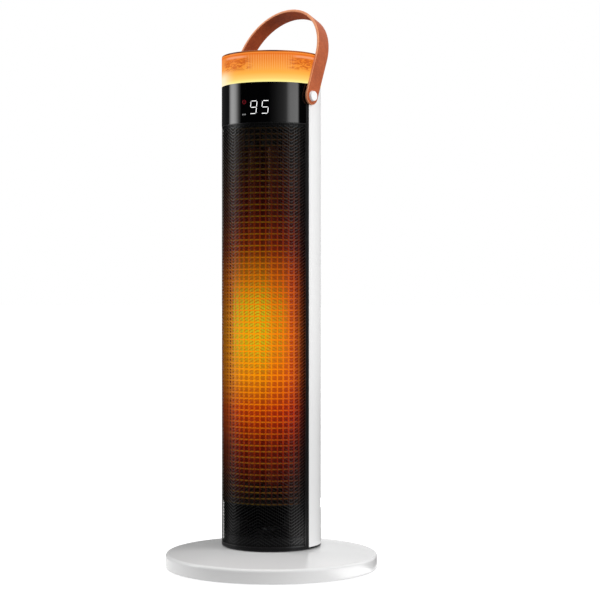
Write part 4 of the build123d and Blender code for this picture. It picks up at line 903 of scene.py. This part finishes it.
def makeFigures():
    w = display["figureWidth"] / 2 - display["bar"] / 2
    h = display["figureHeight"] / 2 - display["bar"] / 2
    g = display["gap"]
    places = {"a": (-w + g, h, w - g, h), "g": (-w + g, 0, w - g, 0), "d": (-w + g, -h, w - g, -h),
              "f": (-w, g, -w, h - g), "b": (w, g, w, h - g), "c": (w, g - h, w, -g)}
    litMaterial("figureLight", (1, 1, 1), 0.9)
    for number, (angle, bars) in display["figures"].items():
        strips = [barStrip(*places[letter]) for letter in bars]
        makeFilm("figure" + number, strips, "figureLight", angle, display["height"])

    # an open ring with a stem, and three small marks under it
    litMaterial("ringLight", (0.1, 0.004, 0.007), 1.0)
    loop = [[(radius * cos(turn), radius * sin(turn)) for radius in display["ringRadii"]]
            for turn in np.radians(np.linspace(*display["ringArc"]))]
    wide, tall = display["stem"]
    stem = [[(x * mm, z * mm) for x in (-wide, wide)] for z in (-tall, 0.0, tall)]
    makeFilm("ringMark", [loop, stem], "ringLight", display["marksAngle"], display["ringHeight"])
    litMaterial("markLight", (0.15, 0.15, 0.15), 1.0)
    wide, tall = display["markSize"]
    marks = [[[(x * mm, z * mm) for z in (-tall / 2, tall / 2)] for x in (start, start + wide)]
             for start in display["marksStart"]]
    makeFilm("smallMarks", marks, "markLight", display["marksAngle"], display["marksHeight"])


makeFigures()
print("display figures made")

strap = {
    "pivot": 507.9 * mm,
    "lean": 20.8,
    "halfWidth": 9.25 * mm,
    "halfThickness": 1.5 * mm,
    "edgeRound": 0.8 * mm,
    "legX": 56.3 * mm,
    "leg": 45.7 * mm,
    "shoulderRadius": 63.0 * mm,
    "shoulderTurn": 30.0,
    "endSteps": 16,             # round each end
    "stations": (14, 13, 23),   # along a leg, round a shoulder and over half the crown
    "flat": (0.68, 0.45, 0.22),     # lines on the flat sides, as shares of the half width
}


# Centre line in the strap's own plane, from one pivot to the other, with the direction at each point.
def strapLine():
    turn, shoulder = radians(strap["shoulderTurn"]), strap["shoulderRadius"]
    hipX = strap["legX"] - shoulder
    crownRadius = (hipX + shoulder * cos(turn)) / cos(turn)
    crownY = strap["leg"] + shoulder * sin(turn) - crownRadius * sin(turn)
    onLeg, onShoulder, onCrown = strap["stations"]
    line = [(strap["legX"], y, pi / 2) for y in np.linspace(0, strap["leg"], onLeg + 1)[:-1]]
    for centreX, centreY, radius, angles in (
            (hipX, strap["leg"], shoulder, np.linspace(0, turn, onShoulder + 1)[:-1]),
            (0, crownY, crownRadius, np.linspace(turn, pi / 2, onCrown + 1))):
        line += [(centreX + radius * cos(turn), centreY + radius * sin(turn), turn + pi / 2) for turn in angles]
    return line + [(-x, y, -heading) for x, y, heading in reversed(line[:-1])]


def makeStrap():
    lean, halfWidth, halfThickness = radians(strap["lean"]), strap["halfWidth"], strap["halfThickness"]
    edge, half = strap["edgeRound"], strap["endSteps"]
    rings = [(halfWidth - edge * (1 - cos(turn)), halfThickness - edge * (1 - sin(turn)))
             for turn in np.radians([0, 30, 60, 90])]
    rings += [(halfWidth * share, halfThickness) for share in strap["flat"]]
    columns = rings + [(0.0, halfThickness)] + [(-r, h) for r, h in reversed(rings)]
    line = strapLine()
    lastColumn, lastStation, middle = len(columns) - 1, len(line) - 1, len(rings)
    corners, faces, finish, lookup = [], [], [], {}

    # y up the strap and w across it, in the leaning plane
    def put(key, x, y, w):
        lookup[key] = len(corners)
        corners.append((x, y * sin(lean) - w * cos(lean), strap["pivot"] + y * cos(lean) + w * sin(lean)))

    def addFace(keys, onEdge, flip, layer=1):
        indices = [lookup[key] for key in keys]
        faces.append(tuple(reversed(indices)) if flip else tuple(indices))
        finish.append(1 if onEdge else 0 if layer > 0 else 2)

    for station, (x, y, heading) in enumerate(line):
        for layer in (1, -1):       # away from the arch and towards it
            for column, (w, h) in enumerate(columns):
                put((station, column, layer), x + layer * h * sin(heading), y - layer * h * cos(heading), w)
    for station in range(lastStation):
        after = station + 1
        for layer in (1, -1):
            for column in range(lastColumn):
                addFace([(station, column, layer), (station, column + 1, layer), (after, column + 1, layer),
                         (after, column, layer)], column < 2 or column >= lastColumn - 2, layer < 0, layer)
        for column in (0, lastColumn):
            addFace([(station, column, 1), (station, column, -1), (after, column, -1), (after, column, 1)],
                    True, column > 0)

    # rounded ends: half rings below each pivot
    for station, side in ((0, 1), (lastStation, -1)):

        def rim(ring, step, layer):
            if step in (0, half):
                return (station, lastColumn - ring if step else ring, layer)
            return (station, ring, step, layer)

        for layer in (1, -1):
            flip = (layer > 0) == (side > 0)
            for ring, (r, h) in enumerate(rings):
                for step in range(1, half):
                    turn = pi * step / half
                    x = side * (strap["legX"] + layer * h)
                    put(rim(ring, step, layer), x, -r * sin(turn), r * cos(turn))
            for step in range(half):
                for ring in range(middle - 1):
                    addFace([rim(ring, step, layer), rim(ring + 1, step, layer), rim(ring + 1, step + 1, layer),
                             rim(ring, step + 1, layer)], ring < 2, flip, layer)
                addFace([rim(middle - 1, step, layer), (station, middle, layer),
                         rim(middle - 1, step + 1, layer)], False, flip, layer)
        for step in range(half):
            addFace([rim(0, step, 1), rim(0, step, -1), rim(0, step + 1, -1), rim(0, step + 1, 1)],
                    True, side < 0)
    piece = meshPiece("carryingStrap", corners, faces,
                      ["tan_leather", "tan_leather_edge", "tan_leather_inside"], finish, sharpAngle=60)
    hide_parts("handle_strap")
    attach(piece, "handle")
    print("strap:", len(line), "stations")


makeStrap()

studio = {
    "ambient": 0.24,
    "floorRadius": 40.0,
    "floorSides": 96,
    "floorGlow": (0.86, 1.0),       # near the heater and far from it
    "floorGlowReach": (0.25, 1.6),
    "floorGrey": 0.4,
}
# Direction in degrees from the heater's front, distance, height of the middle, width, height, brightness.
softboxes = {
    "leftBox": (-50.0, 1.8, 0.75, 0.9, 1.7, 4.6),
    "rightBox": (94.0, 1.8, 0.75, 0.7, 1.7, 7.0),
    "topBox": (30.0, 0.3, 2.1, 1.3, 1.3, 2.2),
}
# What gloss sees in front: a dark wall with two soft strips, given as direction and brightness.
wall = {
    "radius": 2.6,
    "start": -136.3,
    "end": 200.0,
    "top": 2.2,
    "steps": 84,
    "strips": [(-180, 0.7), (-159, 0.5), (-158, 0.03), (-74, 0.07), (-66, 4.2), (-58, 5.6), (-50, 5.0),
               (-40, 1.0), (-34, 0), (34, 0), (48, 0.12), (67, 0.42), (75, 0.75), (80, 2.4), (85, 3.3),
               (103, 3.7), (107, 0), (139, 0), (143, 2.6), (152, 1.6), (165, 1.0), (180, 0.7)],
    "frontMiddle": 20.0,
    "frontReach": 112.0,
    "frontBand": [(0.0, 0.14), (0.02, 0.16), (0.63, 0.16), (0.69, 1.0), (0.85, 1.0), (1.0, 0.15)],
    "cardInner": 0.17,         # dark card on the floor at the wall's foot
    "cardHeight": 0.001,
    "cardEdge": 0.02,          # up to here the wall is dark too, and its strips are full from the next height
    "stripFoot": 0.06,
    "boardStart": 80.0,        # between these the foot of the card is a pale board
    "boardEnd": 122.0,
    "boardInner": 0.122,
    "boardOuter": 0.3,
    "boardGlow": 5.0,
}


def backgroundRays(place):
    path = addNode("LightPath", place=place).outputs
    seen = calc("ADD", path["Is Camera Ray"], path["Is Glossy Ray"])
    return calc("ADD", seen, path["Is Transmission Ray"], clamp=True)


def makeWorld():
    world = bpy.data.worlds.new("studioWorld")
    scene.world = world
    world.use_nodes = True
    tree = world.node_tree
    strength = calc("MULTIPLY_ADD", backgroundRays(tree), 1 - studio["ambient"], studio["ambient"])
    feed(tree.nodes["Background"], {"Color": (1, 1, 1), "Strength": strength})


def stageMesh(name, corners, faces, finish):
    piece = meshPiece(name, corners, faces, [finish])
    return piece


def makeFloor():
    grey = (studio["floorGrey"],) * 3
    shader = newMaterial("floorWhite", {
        "Roughness": 0.9, "Base Color": grey, "Specular IOR Level": 0.0, "Emission Color": (1, 1, 1)})
    glow = remap(length(objectPoint(shader)), *studio["floorGlowReach"], *studio["floorGlow"])
    feed(shader, {"Emission Strength": multiply(backgroundRays(shader), glow)})
    # seen from below, the floor lets the underside show
    fromBelow = addNode("NewGeometry", place=shader).outputs["Backfacing"]
    clear = addNode("BsdfTransparent", place=shader).outputs[0]
    mixed = addNode("MixShader", {0: fromBelow, 1: shader.outputs[0], 2: clear}).outputs[0]
    feed(shader.id_data.nodes["Material Output"], {"Surface": mixed})
    sides = studio["floorSides"]
    rim = [onColumn(tau * k / sides + pi / 2, studio["floorRadius"], 0) for k in range(sides)]
    stageMesh("floor", rim, [tuple(range(sides))], "floorWhite")


# Only reflections see the wall and the dark card at its foot, so that gloss stays deep between the strips.
def makeWall():
    shader = newMaterial("wallBlack", {
        "Roughness": 1.0, "Base Color": (0.002, 0.002, 0.002), "Specular IOR Level": 0.0})
    parts = splitPoint(shader)
    angle = angleRound(parts)
    brightest = max(level for direction, level in wall["strips"])
    stops = [(0.5 + direction / 360, *[level / brightest] * 3) for direction, level in wall["strips"]]
    strip = ramp(calc("MULTIPLY_ADD", angle, 1 / tau, 0.5), stops, 1)
    # all of the front sees the strips at one band of heights, and faintly above, below and in the card
    fromFront = calc("ABSOLUTE", calc("SUBTRACT", angle, radians(wall["frontMiddle"])))
    front = remap(fromFront, radians(wall["frontReach"]), radians(wall["frontReach"] + 4), 1.0, 0.0)
    band = ramp(parts[2], [(height, *[share] * 3) for height, share in wall["frontBand"]], 1)
    plain = remap(parts[2], wall["cardEdge"], wall["stripFoot"])
    share = calc("MULTIPLY_ADD", calc("SUBTRACT", band, plain), front, plain)
    strips = multiply(strip, multiply(share, brightest))
    away = length(flatPoint(parts))
    boardStart = radians(wall["boardStart"])
    board = remap(angle, boardStart, boardStart + radians(8), 0.0, wall["boardGlow"])
    for value, edge, soft in ((angle, radians(wall["boardEnd"]), radians(10)), (away, wall["boardOuter"], 0.08),
                              (parts[2], wall["cardEdge"], 0.01)):
        board = multiply(board, remap(value, edge - soft, edge, 1.0, 0.0))
    addGlow("wallBlack", (1, 1, 1), calc("ADD", board, strips))

    angles = np.radians(np.linspace(wall["start"], wall["end"], wall["steps"] + 1))
    corners = []
    for angle in angles:
        inner = wall["boardInner"] if angle > boardStart else wall["cardInner"]
        for radius, height in ((inner, wall["cardHeight"]), (wall["radius"], wall["cardHeight"]),
                               (wall["radius"], wall["cardEdge"]), (wall["radius"], wall["top"])):
            corners.append(onColumn(angle, radius, height))
    faces = [(4 * k + row, 4 * k + row + 1, 4 * k + row + 5, 4 * k + row + 4)
             for k in range(wall["steps"]) for row in range(3)]
    piece = stageMesh("wall", corners, faces, "wallBlack")
    piece.visible_camera = piece.visible_diffuse = piece.visible_shadow = piece.visible_transmission = False


def makeSoftbox(name, angle, distance, height, width, tall, brightness):
    data = bpy.data.lights.new(name, "AREA")
    data.shape = "RECTANGLE"
    data.size, data.size_y = width, tall
    data.energy = brightness * pi * width * tall
    lamp = bpy.data.objects.new(name, data)
    lamp.location = onColumn(radians(angle), distance, height)
    aim = Vector((0, 0, min(height, 0.3))) - lamp.location
    lamp.rotation_euler = aim.to_track_quat("-Z", "Y").to_euler()
    lamp.visible_camera = lamp.visible_glossy = False
    scene.collection.objects.link(lamp)


makeWorld()
makeFloor()
makeWall()
for name, settings in softboxes.items():
    makeSoftbox(name, *settings)
scene.view_settings.view_transform = "Standard"
print("studio ready")
